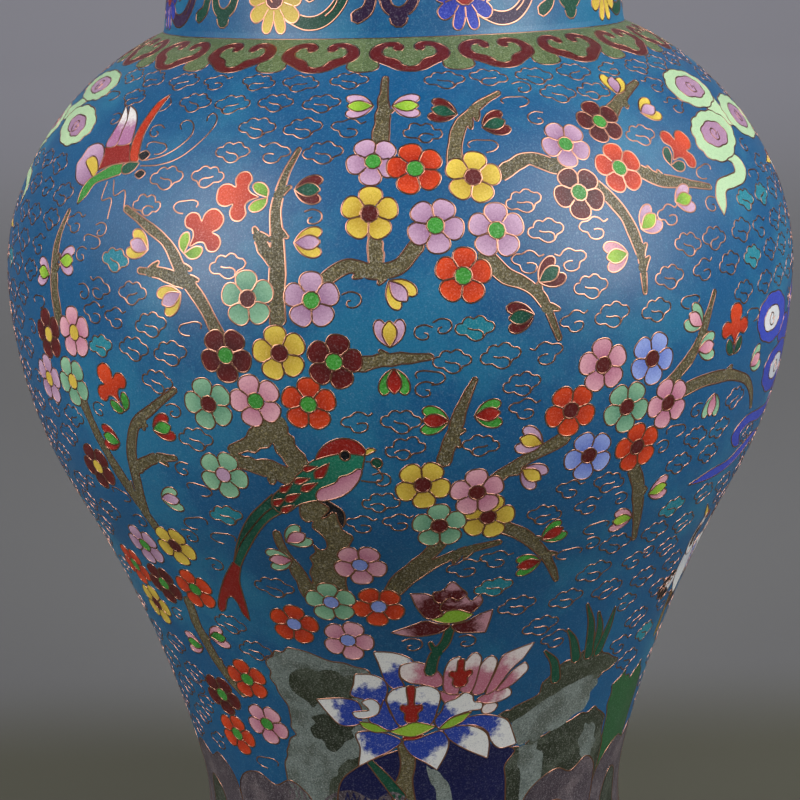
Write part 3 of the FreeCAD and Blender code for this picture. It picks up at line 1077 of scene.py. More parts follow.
# (angle, travel, sides, heart, turn): the place is where the bud leaves its twig
buds = [
    (-3.6, 24.5, "lilac", "lime", 90),
    (-0.6, 24.7, "lilac", "lime", -90),
    (9.4, 27.6, "maroon", "dark_green", 70),
    (12.8, 31.4, "maroon", "dark_green", -75),
    (39.4, 25.0, "yellow", "lilac", -20),
    (41.6, 30.9, "yellow", "lilac", -80),
    (-14.0, 45.5, "maroon", "dark_green", -90),
    (-13.4, 57.3, "yellow", "lilac", -88),
    (-34.4, 60.3, "yellow", "lilac", 75),
    (-28.6, 69.0, "yellow", "lilac", 120),
    (-1.4, 65.5, "yellow", "lilac", -140),
    (-1.5, 79.6, "lilac", "yellow", 0),
    (-1.1, 84.2, "grass_green", "red", 180),
    (17.2, 67.4, "maroon", "dark_green", -60),
    (16.4, 74.2, "maroon", "dark_green", 95),
    (40.2, 53.4, "lilac", "lime", -85),
    (33.0, 58.4, "lilac", "lime", -60),
    (30.2, 63.2, "pink", "lime", 95),
    (42.4, 82.0, "celadon", "pink", 55),
    (41.8, 87.6, "celadon", "pink", -85),
    (55.6, 95.8, "celadon", "pink", -70),
    (46.8, 99.4, "celadon", "pink", 175),
    (18.0, 103.8, "lilac", "yellow", 70),
    (15.4, 109.6, "lilac", "yellow", -125),
    (5.6, 96.6, "grass_green", "red", 85),
    (8.8, 95.8, "grass_green", "red", -85),
    (-54.4, 69.3, "lilac", "lime", 85),
    (-52.0, 65.4, "lilac", "lime", -85),
    (-35.2, 101.4, "red", "grass_green", -75),
    (-42.4, 106.6, "red", "grass_green", 80),
    (-37.4, 120.0, "celadon", "lilac", -85),
    (-17.8, 128.4, "celadon", "pink", -60),
    (-17.6, 134.0, "celadon", "pink", 95),
    (37.4, 122.5, "pink", "lime", -75),
    (35.6, 128.6, "pink", "lime", 88),
    (20.0, 130.2, "grass_green", "red", -60),
    (20.8, 137.0, "grass_green", "red", 100),
    (-41.2, 164.4, "pink", "grass_green", -80),
    (-45.0, 169.2, "pink", "grass_green", 85),
]

# Each group of lines grows together; each line says which of its ends is a tip.
branchGroups = [
    [("first", [(-1.7, 16), (-2.0, 24), (-2.4, 34)])],
    [("first", [(17, 22), (13, 25.5), (10, 30), (8.2, 36), (8, 42)])],
    [("none", [(14, 43), (18.5, 40), (23, 43)])],
    [("first", [(46, 22), (40, 26), (36, 29.5), (33, 33)])],
    [("last", [(34, 44), (39, 48), (44, 49.8), (48.5, 51.5)])],
    [("last", [(27.5, 47), (30.5, 54), (32, 62), (32.2, 72)])],
    [
        ("first", [(-14.2, 36), (-15.6, 42), (-16.2, 50), (-15.4, 60), (-15.4, 74)]),
        ("first", [(-18.8, 54.5), (-17.4, 58.5), (-15.6, 62)]),
    ],
    [
        ("first", [(-40, 51.5), (-36, 54.5), (-31.5, 58.5), (-28.4, 65), (-25, 72), (-23.2, 78)]),
        ("first", [(-35.4, 65), (-32, 65.2), (-28.6, 66.5)]),
    ],
    [
        ("none", [(-3, 53), (-3.1, 58), (-2.8, 62.5)]),
        ("none", [(2.2, 58), (0.0, 62.5), (-3.2, 63.6), (-6.4, 62.2), (-10.2, 66.5)]),
    ],
    [("last", [(-6, 83.3), (-1, 82.2), (3.4, 82)])],
    [("last", [(10.6, 61), (13, 65.5), (16.4, 68.8), (18.2, 73.5), (19.6, 79.8)])],
    [("first", [(8.8, 87.5), (7.6, 92), (6.4, 98), (5.0, 106)])],
    [("none", [(21, 103), (18, 105.3), (14.6, 108.5), (11.5, 112)])],
    [
        ("first", [(44.8, 75), (43.4, 80), (41.6, 86), (39.0, 91), (35.6, 95)]),
        ("last", [(38.2, 97), (43.5, 95.6), (50, 96.2), (55, 98.8), (58, 103), (59.6, 107.5)]),
    ],
    [("last", [(33, 114), (34.6, 119), (36.0, 125), (38.2, 136)])],
    [
        ("last", [(13, 124.5), (16.5, 127.5), (19.4, 132), (22, 137), (24.6, 144)]),
        ("first", [(13.4, 129.4), (8.6, 131), (4.6, 134.2), (0.6, 139), (-3.6, 145)]),
        ("none", [(4.6, 128), (2.4, 133), (-1.0, 138.6), (-3.6, 145)]),
    ],
    [("first", [(-52.4, 54), (-53.4, 61), (-53.2, 68), (-52, 79)])],
    [
        ("none", [(-48.8, 98), (-47.6, 104), (-45.8, 112), (-43.4, 121), (-41, 132)]),
        ("first", [(-30.4, 91), (-34.4, 96), (-38.2, 101), (-40.4, 108), (-41.4, 117), (-42.6, 125)]),
        ("first", [(-32.4, 108), (-36, 108.8), (-40.2, 112.4)]),
    ],
    [("none", [(-43, 154), (-43.6, 162), (-42.8, 170), (-40.4, 177), (-37.6, 181)])],
]


def spray(entries, shift, flip, recolour):
    # places as they are, or mirrored and moved round to another side
    for angle, *rest in entries:
        yield (-angle if flip else angle) + shift, [recolour.get(v, v) for v in rest]


def onSide(places, shift, flip):
    return [((-angle if flip else angle) + shift, travel) for angle, travel in places]


def flowering(shift, flip, recolour):
    for angle, (travel, petals, heart) in spray(blossoms, shift, flip, recolour):
        blossom(angle, travel, petals, heart, draw.uniform(0, 72), 0.94 if travel < 40 else 1.0)
    for angle, (travel, leaves, turn) in spray(youngBlooms, shift, flip, recolour):
        youngBloom(angle, travel, leaves, -turn if flip else turn, 0.95)
    for angle, (travel, sides, heart, turn) in spray(buds, shift, flip, recolour):
        bud(angle, travel, sides, heart, -turn if flip else turn)
    for index, group in enumerate(branchGroups):
        branches([(tip, onSide(line, shift, flip)) for tip, line in group], index)


backColours = {"orange": "pink", "pink": "yellow", "yellow": "orange", "lilac": "celadon", "celadon": "lilac"}
flowering(0.0, False, {})
flowering(180.0, True, backColours)
print("branches and blossoms")


# ---- drawing as seen from one side ----
class SidePen:
    # draws in mm as they look from straight in front of that angle
    def __init__(self, angle, travel, facing, flip):
        self.travel = travel
        self.facing = facing
        self.flip = flip
        self.across = radiusAt(travel) * math.sin(math.radians(angle))

    def at(self, points):
        points = np.asarray(points, float)
        travel = self.travel - points[:, 1]
        x = self.across + points[:, 0]
        share = np.clip(x / np.interp(travel, travels, outline[:, 0]), -0.999, 0.999)
        angle = np.degrees(np.arcsin(share)) * (-1 if self.flip else 1)
        return np.column_stack([self.facing + angle, travel])

    def area(self, finish, points, shade=0.5, smooth=True):
        line = loop(points) if smooth else shape(*points)
        if isinstance(shade, tuple):
            shade = tuple(self.at(shade))
        chart.paint(finish, [self.at(line)], shade=shade)

    def wire(self, points):
        chart.wire(self.at(curve(points)))


def cornered(points):
    # a closed line, smooth but for the places that say "corner"
    flat = [p[:2] for p in points]
    sharp = [i for i, p in enumerate(points) if len(p) > 2]
    if not sharp:
        return loop(flat)
    first = sharp[0]
    ends = [i - first for i in sharp] + [len(flat)]
    flat = flat[first:] + flat[: first + 1]
    return shape(*[flat[a : b + 1] for a, b in zip(ends, ends[1:])])


def ragged(points):
    # the outline with an uneven, broken edge, but for what lies on the waist ring
    made = []
    for point, following in zip(points, points[1:] + points[:1]):
        made.append(point)
        for share in (0.33, 0.67):
            mixedPlace = [
                a + (b - a) * share + draw.uniform(-rockSettings["ragged"], rockSettings["ragged"])
                for a, b in zip(point[:2], following[:2])
            ]
            if max(point[1], following[1]) < rockSettings["waistTravel"]:
                made.append(tuple(mixedPlace))
    return made


def patch(finish, points, shade=0.5, shift=0.0, flip=False, wired=True):
    # a closed shape of chart places, drawn in true mm; its shade may run from one place to another
    unit = float(unitAt(np.mean([p[1] for p in points])))
    way = -1 if flip else 1
    line = cornered([(way * p[0] * unit,) + tuple(p[1:]) for p in points])
    places = np.column_stack([line[:, 0] / unit + shift, line[:, 1]])
    if isinstance(shade, tuple):
        shade = tuple((way * a + shift, t) for a, t in shade)
    chart.paint(finish, [places], shade=shade, wired=wired)


corner = "corner"  # a third entry of a place, where the line turns sharply


# ---- the bird on its perch ----
def featherDrop(start, end, width):
    # a drop with its round end at the start
    start, end = np.array(start, float), np.array(end, float)
    ahead = end - start
    side = np.array([-ahead[1], ahead[0]]) / np.hypot(*ahead) * width / 2
    right = [end, start + ahead * 0.6 + side * 0.7, start + ahead * 0.25 + side, start]
    left = [start, start + ahead * 0.25 - side, start + ahead * 0.6 - side * 0.7, end]
    return [[tuple(p) for p in right], [tuple(p) for p in left]]


def bird(angle, travel, facing, flip):
    pen = SidePen(angle, travel, facing, flip)
    pen.area("black", [(1.15 * math.cos(t), 1.25 * math.sin(t)) for t in np.arange(8) * math.pi / 4], 0.1)
    crown = [(-6.6, -1.2), (-5.6, 1.0), (-4.0, 2.8), (-2.0, 3.9), (0, 4.2), (2.0, 3.8), (3.6, 2.6),
        (4.6, 1.1)]
    under = [(4.1, 0), (2.4, 0.3), (0, 0.5), (-3.0, 0.0), (-4.6, -0.5), (-6.6, -1.2)]
    pen.area("red", [crown, [(4.6, 1.1), (4.1, 0)], under], 0.3, False)
    pen.area("yellow", [(4.4, 1.2), (5.6, 1.9), (6.7, 1.4), (5.2, 0.4), (4.1, 0)])
    drops = [  # start, end and width of each red feather
        ((-9.6, -3.8), (-6.0, -2.9), 1.5),
        ((-6.8, -5.9), (-3.5, -1.9), 2.3),
        ((-11.6, -7.2), (-7.8, -5.9), 1.6),
        ((-10.2, -9.3), (-6.2, -7.0), 1.8),
        ((-14.8, -9.9), (-12.0, -7.6), 1.7),
        ((-13.8, -12.3), (-10.2, -10.0), 1.9),
        ((-16.6, -13.6), (-13.8, -11.6), 1.8),
        ((-14.9, -15.5), (-11.8, -13.2), 1.7),
    ]
    for start, end, width in drops:
        pen.area("red", featherDrop(start, end, width), 0.4, False)
    breast = [(3.5, -3.4), (3.1, -5.5), (1.6, -8.0), (-0.8, -10.2), (-4.0, -11.5), (-6.3, -11.7),
        (-6.8, -10.4), (-6.0, -8.7), (-4.0, -7.7), (-2.2, -6.7), (-1.4, -5.4), (0.2, -4.9), (1.6, -4.1),
        (2.6, -3.3)]
    pen.area("pink", breast, ((-3, -7), (0, -11)))
    body = [(4.1, 0.1), (3.9, -2.0), (3.4, -4.4), (1.4, -8.2), (-0.8, -10.2), (-4.0, -11.5), (-6.2, -11.7),
        (-8.6, -12.2), (-11.0, -13.3), (-13.2, -15.2), (-14.9, -15.6), (-16.7, -13.8), (-16.5, -11.2),
        (-15.0, -9.4), (-13.4, -8.0), (-12.0, -7.2), (-11.0, -5.5), (-9.0, -3.5), (-8.0, -2.1), (-6.4, -1.0),
        (-3.0, 0.2), (0, 0.6)]
    pen.area("bird_green", body, ((-13, -13), (3, -2)))
    upper = [(-16.5, -10.5), (-19.0, -13.3), (-22.0, -17.0), (-24.2, -21.5), (-25.8, -26.5), (-27.0, -32.5)]
    middle = [(-27.0, -32.5), (-25.0, -26.4), (-22.0, -21.0), (-19.0, -16.6), (-16.3, -13.8)]
    lower = [(-14.5, -15.5), (-17.5, -17.8), (-20.2, -21.6), (-22.6, -26.5), (-24.5, -31.0), (-25.5, -34.0)]
    pen.area("bird_green", [upper, middle, [(-16.3, -13.8), (-16.5, -10.5)]], 0.1, False)
    pen.area("bird_green", [lower, [lower[-1], middle[0]], middle, [middle[-1], lower[0]]], 0.2, False)
    tail = [
        [(-27.2, -32.4), (-25.4, -33.8)],
        [(-25.4, -33.8), (-26.1, -38.5), (-25.6, -43.2), (-25.0, -47.5), (-24.6, -51.6)],
        [(-24.6, -51.6), (-26.2, -49.4), (-27.2, -46.2), (-28.6, -44.3), (-29.6, -45.4), (-30.5, -49.2),
         (-31.6, -50.4)],
        [(-31.6, -50.4), (-32.2, -48.8), (-31.5, -44.3), (-29.5, -37.6), (-27.2, -32.4)],
    ]
    pen.area("red", tail, 0.4, False)
    legs = [(-6.6, -11.6), (-5.0, -11.4), (-3.0, -12.6), (-0.9, -14.6), (-0.8, -18.0), (-1.3, -19.0),
        (-2.2, -17.0), (-2.7, -14.9), (-3.6, -15.0), (-4.6, -16.1), (-5.9, -16.7), (-4.6, -14.9),
        (-4.0, -13.9), (-4.7, -13.0)]
    pen.area("black", legs, 0.2)
    pen.area("dark_green", [(5.6, -1.4), (6.4, -0.6), (7.7, -1.0), (8.0, -2.2), (7.2, -3.2), (6.0, -2.7)])
    pen.wire([(4.0, -1.3), (4.8, -1.5), (5.6, -1.4)])
    pen.wire([(6.8, -3.2), (8.0, -5.2), (7.6, -6.4), (5.6, -6.6), (3.2, -6.2)])
    strokes = [
        ([(-25.0, 0.3), (-22.4, 1.4), (-19.2, 3.0), (-14.8, 6.8)], [2.0, 5.0, 5.4]),
        ([(-15.4, 7.2), (-14.2, 4.6), (-12.8, 1.6), (-9.6, -4.0)], [5.0, 4.8, 5.2]),
        ([(-24.4, -1.8), (-22.6, -2.8), (-20.6, -3.4), (-17.0, -3.9), (-11.4, -5.6)], [3.2, 4.2, 4.6]),
        ([(-16.2, -4.0), (-16.4, -7.2)], [2.6, 1.6]),
    ]
    outlines = []
    for index, (line, widths) in enumerate(strokes):
        outlines.append(stroke(pen.at(curve(line)), widths, wobble=0.22, seed=index))
    chart.paint("bark", outlines)
    trunk = loop([(-10.0, -12.0), (-7.0, -11.4), (-4.0, -12.0), (-2.6, -15.0), (-2.0, -17.0), (-1.4, -19.6),
        (0.9, -21.8), (0.4, -23.4), (-0.4, -25.4), (0.2, -30.0), (-1.2, -35.6), (-1.0, -42.0), (-8.6, -42.0),
        (-8.8, -35.4), (-9.3, -33.4), (-8.4, -30.6), (-9.0, -28.6), (-7.6, -26.6), (-8.0, -24.4),
        (-6.6, -26.0), (-5.1, -25.4), (-5.1, -23.0), (-6.4, -21.0), (-8.0, -19.2), (-7.8, -17.4),
        (-9.0, -17.8), (-10.4, -16.4)])
    twig = curve([(-16.2, -21.6), (-15.2, -26.0), (-13.6, -30.0), (-11.4, -35.5), (-9.4, -41.0)])
    chart.paint("bark", [pen.at(trunk), stroke(pen.at(twig), [1.6, 2.9, 4.0], wobble=0.2)])


# ---- lotus flowers ----
# Each part is its finish, its outline and its shade, which may run from one place to another.
smallLotus = [
    ("lime", [(3.4, 152.4, corner), (5.2, 151.8), (6.2, 150.2), (8, 149.9), (10.8, 151.7, corner),
        (9.5, 153.3), (7.3, 154), (5, 153.5)], 0.7),
    ("lotus_maroon", [(5.2, 149.8), (5.6, 147), (6.8, 145.9), (7.9, 146.9), (9.2, 145.7), (10.2, 147.4),
        (11.5, 145.8), (12.1, 147.7), (11.2, 150.2), (10.2, 151.2), (8, 149.7)], ((8, 151.5), (8.8, 145.5))),
    ("lotus_maroon", [(3.9, 144), (5.4, 143.4), (6.8, 140.8), (8.3, 143), (9.4, 145), (8.8, 147), (6, 147.6),
        (4.4, 147)], ((6.5, 147.5), (6.9, 140.8))),
    ("lotus_maroon", [(0.2, 144, corner), (2.9, 144.4), (4.8, 147), (5.4, 151), (3.2, 152.3), (1.4, 149)],
        ((4.5, 152.5), (0.3, 143.8))),
    ("lotus_maroon", [(-3.2, 156.3, corner), (0, 154.4), (2.8, 152.9), (4.6, 154), (6.9, 154.6), (5.8, 156.4),
        (3, 157.5), (0, 157.6)], ((5, 155), (-3, 156.3))),
    ("lotus_maroon", [(7.2, 154.8), (10, 153.6), (12, 151.8), (14.1, 150.8, corner), (13.9, 154),
        (13.3, 157.8, corner), (10.5, 157.5), (8.3, 157)], ((7.6, 155), (14.2, 154))),
]
largeLotus = [
    ("lime", [(-4.8, 187.6, corner), (-2, 186), (0.5, 184.8), (4.9, 186.3, corner), (3, 187.9), (0, 189.3),
        (-3, 188.6)], 0.7),
    ("lime", [(-11, 184.7, corner), (-8, 185.2), (-4.9, 187.6, corner), (-8, 187.9), (-10.4, 186.4)], 0.7),
    ("lime", [(5.4, 187.3, corner), (8, 184.2), (12.4, 182.5, corner), (10.4, 185.5), (7.6, 187.2)], 0.7),
    ("red", [(-0.8, 173.4), (0.6, 173.4), (0.7, 179.4), (1.9, 179.2), (2.1, 180.8), (1.2, 182), (1.3, 183.4),
        (0.6, 184.9), (-1, 184.9), (-1.6, 183.4), (-1.4, 182), (-2.3, 180.8), (-2.1, 179.2), (-0.9, 179.4)],
        0.7),
    ("white", [(-12.2, 182), (-10.4, 181.4), (-8.7, 181), (-9.2, 179.8), (-10, 178.6), (-8, 177.4),
        (-6.5, 179), (-6.8, 181.8), (-8.8, 183.3), (-11.4, 183.6)], 0.7),
    ("lotus_blue", [(-4.9, 177), (-3.4, 174.3), (-0.6, 173.6), (0, 179), (-0.4, 185.2), (-2.6, 185.8),
        (-4.2, 181.5)], ((-1.5, 186), (-3, 173.8))),
    ("lotus_blue", [(0.4, 174.4), (3, 173.4), (5.5, 175.6), (5.2, 181), (3.6, 185.8), (0.2, 185)],
        ((1.5, 186), (3, 173.4))),
    ("lotus_blue", [(-2.8, 186.4), (-4.4, 181.6), (-5.4, 177.6), (-6.6, 181), (-9, 184), (-5, 187.2)], 0.0),
    ("lotus_blue", [(-19.4, 178.7, corner), (-16, 177.9), (-13.4, 177.6), (-10.8, 178.6), (-10.2, 183.5),
        (-11.2, 185.6), (-15, 186.2), (-17.4, 183)], ((-9.5, 183), (-19, 180))),
    ("lotus_blue", [(-10.7, 169.7, corner), (-7.5, 169.7), (-5.1, 171.5), (-4.6, 174), (-5.4, 178),
        (-6.5, 181), (-9, 178), (-12, 176.4), (-11.2, 173)], ((-6.4, 180.5), (-9.6, 169.5))),
    ("lotus_blue", [(-6.7, 162.4, corner), (-3.5, 162.6), (-1, 163.8), (0.5, 165.6), (-1.8, 166.8),
        (-2.2, 170), (-1.4, 173.4), (-3.4, 174.2), (-5, 171.5), (-5.8, 167)], ((-2.6, 174.5), (-4.6, 162.5))),
    ("lotus_blue", [(-12.4, 199, corner), (-11.5, 193), (-12, 188.6), (-8, 187.6), (-4, 189), (-2.4, 190.6),
        (-5, 193.7), (-8.4, 196)], ((-4.5, 188.5), (-12, 197.5))),
    ("lotus_blue", [(-2, 190.6), (0.5, 190.2), (3, 189), (6, 187.9), (7.7, 191), (7.4, 194.6),
        (5.3, 200, corner), (3, 197.8), (-0.5, 194.8)], ((1, 189), (6, 199.5))),
    ("lotus_blue", [(6.6, 187.6), (9.5, 186.7), (13, 187.4), (16, 190), (16.9, 193.4), (16.9, 198, corner),
        (12, 194.6), (9, 192), (7.4, 190)], ((6.2, 188), (15, 193))),
    ("lotus_blue", [(8.6, 185.6), (13, 184), (17, 184.7), (20.5, 187), (22.2, 191), (23.6, 195, corner),
        (19.5, 195.4), (17.4, 193), (16, 189.4), (13, 187), (9, 186.6)], ((10, 185.5), (23, 190.5))),
    ("lotus_blue", [(6.7, 179.2), (9, 178), (10.6, 176.4), (12.2, 177.5), (12.6, 179.5), (14.4, 180.3),
        (14.3, 182.1), (12, 182.3), (8, 184), (5.6, 187), (4.6, 184.6), (6, 181.6)],
        ((5, 185), (9.6, 178.6))),
    ("red", [(-2.2, 189.6), (0, 189.2), (2.4, 189), (1.6, 191.2), (0, 191.9), (-1.6, 190.8)], 0.7),
    ("red", [(8.9, 165.8), (9.9, 165.8), (10.2, 169.5), (11.4, 169.2), (11.7, 170.6), (10.8, 171.8),
        (11, 173), (10.2, 174.4), (8.6, 174.4), (7.9, 173), (8.1, 171.8), (7.2, 170.6), (7.5, 169.2),
        (8.5, 169.5)], 0.7),
    ("lotus_pink", [(6.6, 175.8), (6.3, 169.5), (7.3, 165.9), (9, 164.9), (9.6, 170), (9, 176.6)],
        ((8, 176.5), (7.6, 164.9))),
    ("lotus_pink", [(9.8, 168), (11.8, 164), (13.1, 165.5), (13, 169.5), (11.6, 176.6), (9.4, 175.4)],
        ((10.6, 176.5), (12.1, 164))),
    ("lotus_pink", [(13.3, 168), (15, 165.6), (16.3, 167), (16, 171), (14.2, 177.2), (12.2, 177.2)],
        ((13.5, 177), (15.4, 165.5))),
    ("lotus_pink", [(16.3, 171), (17.5, 166), (20, 164.5), (23.4, 163.4, corner), (21.8, 167.5),
        (19.5, 170.8), (16.6, 176.8), (14.9, 177.7)], ((15.6, 177), (21.4, 163.8))),
    ("lotus_pink", [(18.4, 174.2), (20.5, 170.6), (22.3, 169.4), (23.2, 171.5), (21.8, 174), (19.5, 176.4),
        (17, 177)], ((17, 176.8), (23, 170.2))),
    ("lotus_pink", [(13.2, 179.2), (16, 177), (19.8, 176.8), (20.4, 178.8), (18, 180.5), (14.5, 180.4)],
        ((13.4, 179.5), (20.4, 177.6))),
    ("lotus_pink", [(14.4, 181.6), (16.4, 180.2), (17.8, 181.6), (16.6, 183.7), (14.7, 183.5)], 1.0),
    ("lotus_pink", [(-1.7, 166.4), (0.5, 165.7), (3.5, 167.2), (5.3, 169.5), (6.2, 172.8), (4.5, 174.2),
        (2, 172.9), (0, 172.4), (-1.9, 170.5)], ((6, 173.5), (-1.8, 166.6))),
    ("lotus_pink", [(5.6, 175.4), (8, 176.6), (12, 177), (14.4, 178.4), (12.6, 179.2), (10.4, 176.4),
        (8.6, 178.2), (6.6, 179)], 0.1),
]


def drawParts(parts, shift, flip):
    for finish, points, shade in parts:
        patch(finish, points, shade, shift, flip)


def sideLine(points, shift, flip):
    line = along(points)
    return np.column_stack([(-1 if flip else 1) * line[:, 0] + shift, line[:, 1]])


def lotusStem(shift, flip):
    stem = sideLine([(6.9, 156), (6.2, 160), (4.4, 164), (3.6, 169)], shift, flip)
    twig = sideLine([(3.6, 160), (4.2, 162), (5.2, 163.4)], shift, flip)
    chart.paint("dark_green", [stroke(stem, [2.2, 2.4, 3.0]), stroke(twig, [1.0, 1.6])], shade=0.6)


# ---- rocks, grass and the broad leaf ----
rockSettings = {
    "aboveWaist": 0.6,  # mm of ground left over the waist ring
    "ragged": 0.75,
    "waistTravel": 212,
    "mounds": 14,
    "firstMound": 14,
    "moundWidth": 0.972,
}
waist = bandOf("body_enamel")[1] - rockSettings["aboveWaist"]


def scenery(shift, flip):
    def mass(finish, points, shade, wired=True):
        patch(finish, ragged(points) if finish != "navy" else points, shade, shift, flip, wired)

    def blade(points, widths, finish="dark_green"):
        chart.paint(finish, [stroke(sideLine(points, shift, flip), widths)], shade=0.6)

    blade([(-10.4, 196), (-8.6, 199), (-6.2, 203), (-3.4, 208)], [1.4, 2.8, 3.4])
    blade([(-1.6, 192), (-1.2, 198), (-2.2, 204), (-2.6, 211)], [3.6, 3.4, 6.6], "bark")
    mass("rock_grey", [(3, 198.6), (6, 201), (8.2, 205), (9.6, waist), (5.6, waist), (5, 206)], 0.8, False)
    mass("navy", [(-20, waist, corner), (-17.4, 205), (-13, 199.5), (-8, 196), (-2, 193), (6, 190.5),
        (15, 193), (21, 195), (23.4, 197), (21.4, 201), (22, 206), (24.4, waist, corner)], 0.3)
    grass = [
        [(30.2, 161.6), (32.2, 165.4), (34.4, 172)],
        [(33, 154.6), (35.6, 161.6), (37.6, 172)],
        [(40.8, 158.6), (40.9, 165), (40.2, 172)],
        [(36.6, 158.4), (38.4, 164), (39.2, 171.6)],
        [(26.2, 167), (29, 171.4), (30.4, 177)],
    ]
    for points in grass:
        blade(points, [0.6, 2.2, 2.8])
    mass("rock_dark", [(-24, 171.6), (-20, 168.8), (-14, 169.2), (-9.6, 171.4), (-11, 177), (-17.6, 178.5),
        (-20.5, 181.4), (-24.4, 177)], 0.4, False)
    mass("rock_dark", [(-21.4, 184.6), (-16.6, 182.4), (-12, 186.4), (-12.6, 190), (-17.6, 195),
        (-21.6, 191)], 0.3, False)
    mass("rock_dark", [(-21, waist, corner), (-19.6, 204), (-15.6, 198), (-11.4, 195.6), (-10, 199),
        (-14.6, 203.6), (-17.4, waist, corner)], 0.6, False)
    mass("rock_grey", [(-32.6, waist, corner), (-31.2, 203), (-29.6, 197), (-26.1, 191), (-26.4, 184),
        (-28, 176), (-28.8, 169.4), (-26, 164.6), (-22, 163), (-15, 166), (-8, 168.5), (-5, 178), (-6, 190),
        (-12, 199), (-19, 204), (-20.8, waist, corner)], 0.6)
    mass("rock_grey", [(22, 187.6), (27, 184.2), (33, 180.6), (41, 179.4), (43.4, 183), (41, 190),
        (33, 193.6), (28, 195.6), (24, 195.4), (21.6, 190.6)], 0.9, False)
    mass("rock_dark", [(25.6, 181.4), (28.4, 176), (31.6, 172), (36, 170), (40, 170.4), (44, 174),
        (48.4, 177.6), (43, 181.2), (34, 181), (27.6, 184.6), (21.4, 188), (16.6, 185), (20.6, 184)], 0.7)
    mass("rock_grey", [(24.4, 196.6), (29, 195.6), (31.6, 203), (33.6, waist, corner), (26.6, waist, corner),
        (25.6, 204)], 0.9, False)
    mass("rock_grey", [(43, 195), (47, 197), (49.4, 203), (48, 209), (44, 205), (42, 200)], 0.5, False)
    mass("rock_dark", [(22, waist, corner), (20.4, 203), (22.4, 196), (30, 194.6), (38, 192), (45, 190.6),
        (50.6, 196), (52.6, 204), (53, waist, corner)], 0.3)
    mass("leaf_green", [(49.6, 186, corner), (54, 183), (58, 187.4), (62, 183.6), (66, 189.6), (67, 200),
        (66.6, waist, corner), (53.4, waist, corner), (51.4, 196)], 0.3)


def rockBand(chosen):
    # low purple rocks round the waist, with dark hollows
    wide = rockSettings["moundWidth"]
    mound = [(-13.2, waist, corner), (-12.6, 214), (-8.6, 208.6), (-3, 206.6), (2, 209), (7, 206.4),
        (11.6, 210), (13.2, 216), (13.2, waist, corner)]
    hollow = [(-6.6, waist, corner), (-6.0, 222), (-2.6, 216.6), (1.8, 218.6), (3.6, 224), (4, waist, corner)]
    for index in range(rockSettings["mounds"]):
        angle = (360 / rockSettings["mounds"] * index + rockSettings["firstMound"]) % 180
        if chosen(angle):
            angle += 180 * (index >= rockSettings["mounds"] / 2)
            patch("rock_dark", hollow, 0.1, angle)
            patch("rock_purple", [(p[0] * wide,) + tuple(p[1:]) for p in mound], 0.5, angle)


birdPlace = (-7.7, 104.3)  # where the eye is
rockBand(lambda angle: 36 < angle < 150)  # those at the sides lie over the rest
for shift, flip in ((0.0, False), (180.0, True)):
    bird(*birdPlace, shift, flip)
    drawParts(smallLotus, shift, flip)
    lotusStem(shift, flip)
    drawParts(largeLotus, shift, flip)
    scenery(shift, flip)
rockBand(lambda angle: True)
print("bird, lotus and rocks")


# ---- butterflies, large clouds and cranes ----
butterflyParts = [
    ("black", [(-41.3, 38.6), (-40.2, 37.4), (-39.0, 38.4), (-39.9, 40.0)], 0.2),
    ("black", [(-40.4, 43.4), (-39.6, 42.2), (-38.4, 43.0), (-39.2, 44.4)], 0.2),
    ("dark_green", [(-43, 43.5), (-43.7, 42), (-42.8, 40.7), (-40.4, 40.5, corner), (-40.7, 42),
        (-41.6, 43.3)], 0.6),
    ("grass_green", [(-50.9, 52.2, corner), (-51.1, 49.2), (-50.4, 46.3), (-48.3, 44), (-46.1, 41.8),
        (-43.8, 41.1, corner), (-43.3, 43.7, corner), (-45.7, 45.1), (-48.3, 46.8), (-49.4, 50)], 0.4),
    ("orange", [(-42.4, 40.4), (-43.7, 37), (-44.2, 32.7), (-44.1, 28.2), (-43.6, 24.1), (-42, 21.6, corner),
        (-42.2, 25.4), (-42.4, 30), (-42.3, 33.5), (-41.6, 37.1), (-40.9, 40.3)], 0.4),
    ("wing", [(-49.9, 37.4), (-50.1, 33.9), (-50.4, 30), (-51.8, 25.6, corner), (-48.8, 29.2), (-47.9, 33.1),
        (-47.5, 36.8)], ((-48.8, 37), (-51, 27))),
    ("wing", [(-47.4, 36.6), (-47.9, 33.4), (-48.8, 29.4), (-50.4, 25.8, corner), (-47.6, 27.4), (-45.8, 30),
        (-44.7, 33.4), (-44.4, 35.8)], ((-46, 36.5), (-49.2, 27))),
    ("red", [(-48.9, 43.5, corner), (-49.2, 39.7), (-49.8, 37.3), (-47.4, 36.8), (-44.7, 35.9),
        (-42.4, 40.7, corner), (-44, 41), (-46.6, 42)], 0.4),
    ("yellow", [(-53.2, 41.6), (-52.1, 40.2), (-50.6, 40.7), (-49, 43.4), (-49.4, 45.1), (-50.8, 44)], 0.5),
    ("lilac", [(-50.7, 47.4), (-53.4, 46.6), (-54.6, 44.8), (-55.4, 42.8), (-54.9, 40.6), (-54.5, 38.2),
        (-52.7, 36.9), (-50.6, 37.4), (-49.4, 39.4), (-49.2, 43), (-49.8, 45.4)], ((-50, 44), (-55, 39))),
]
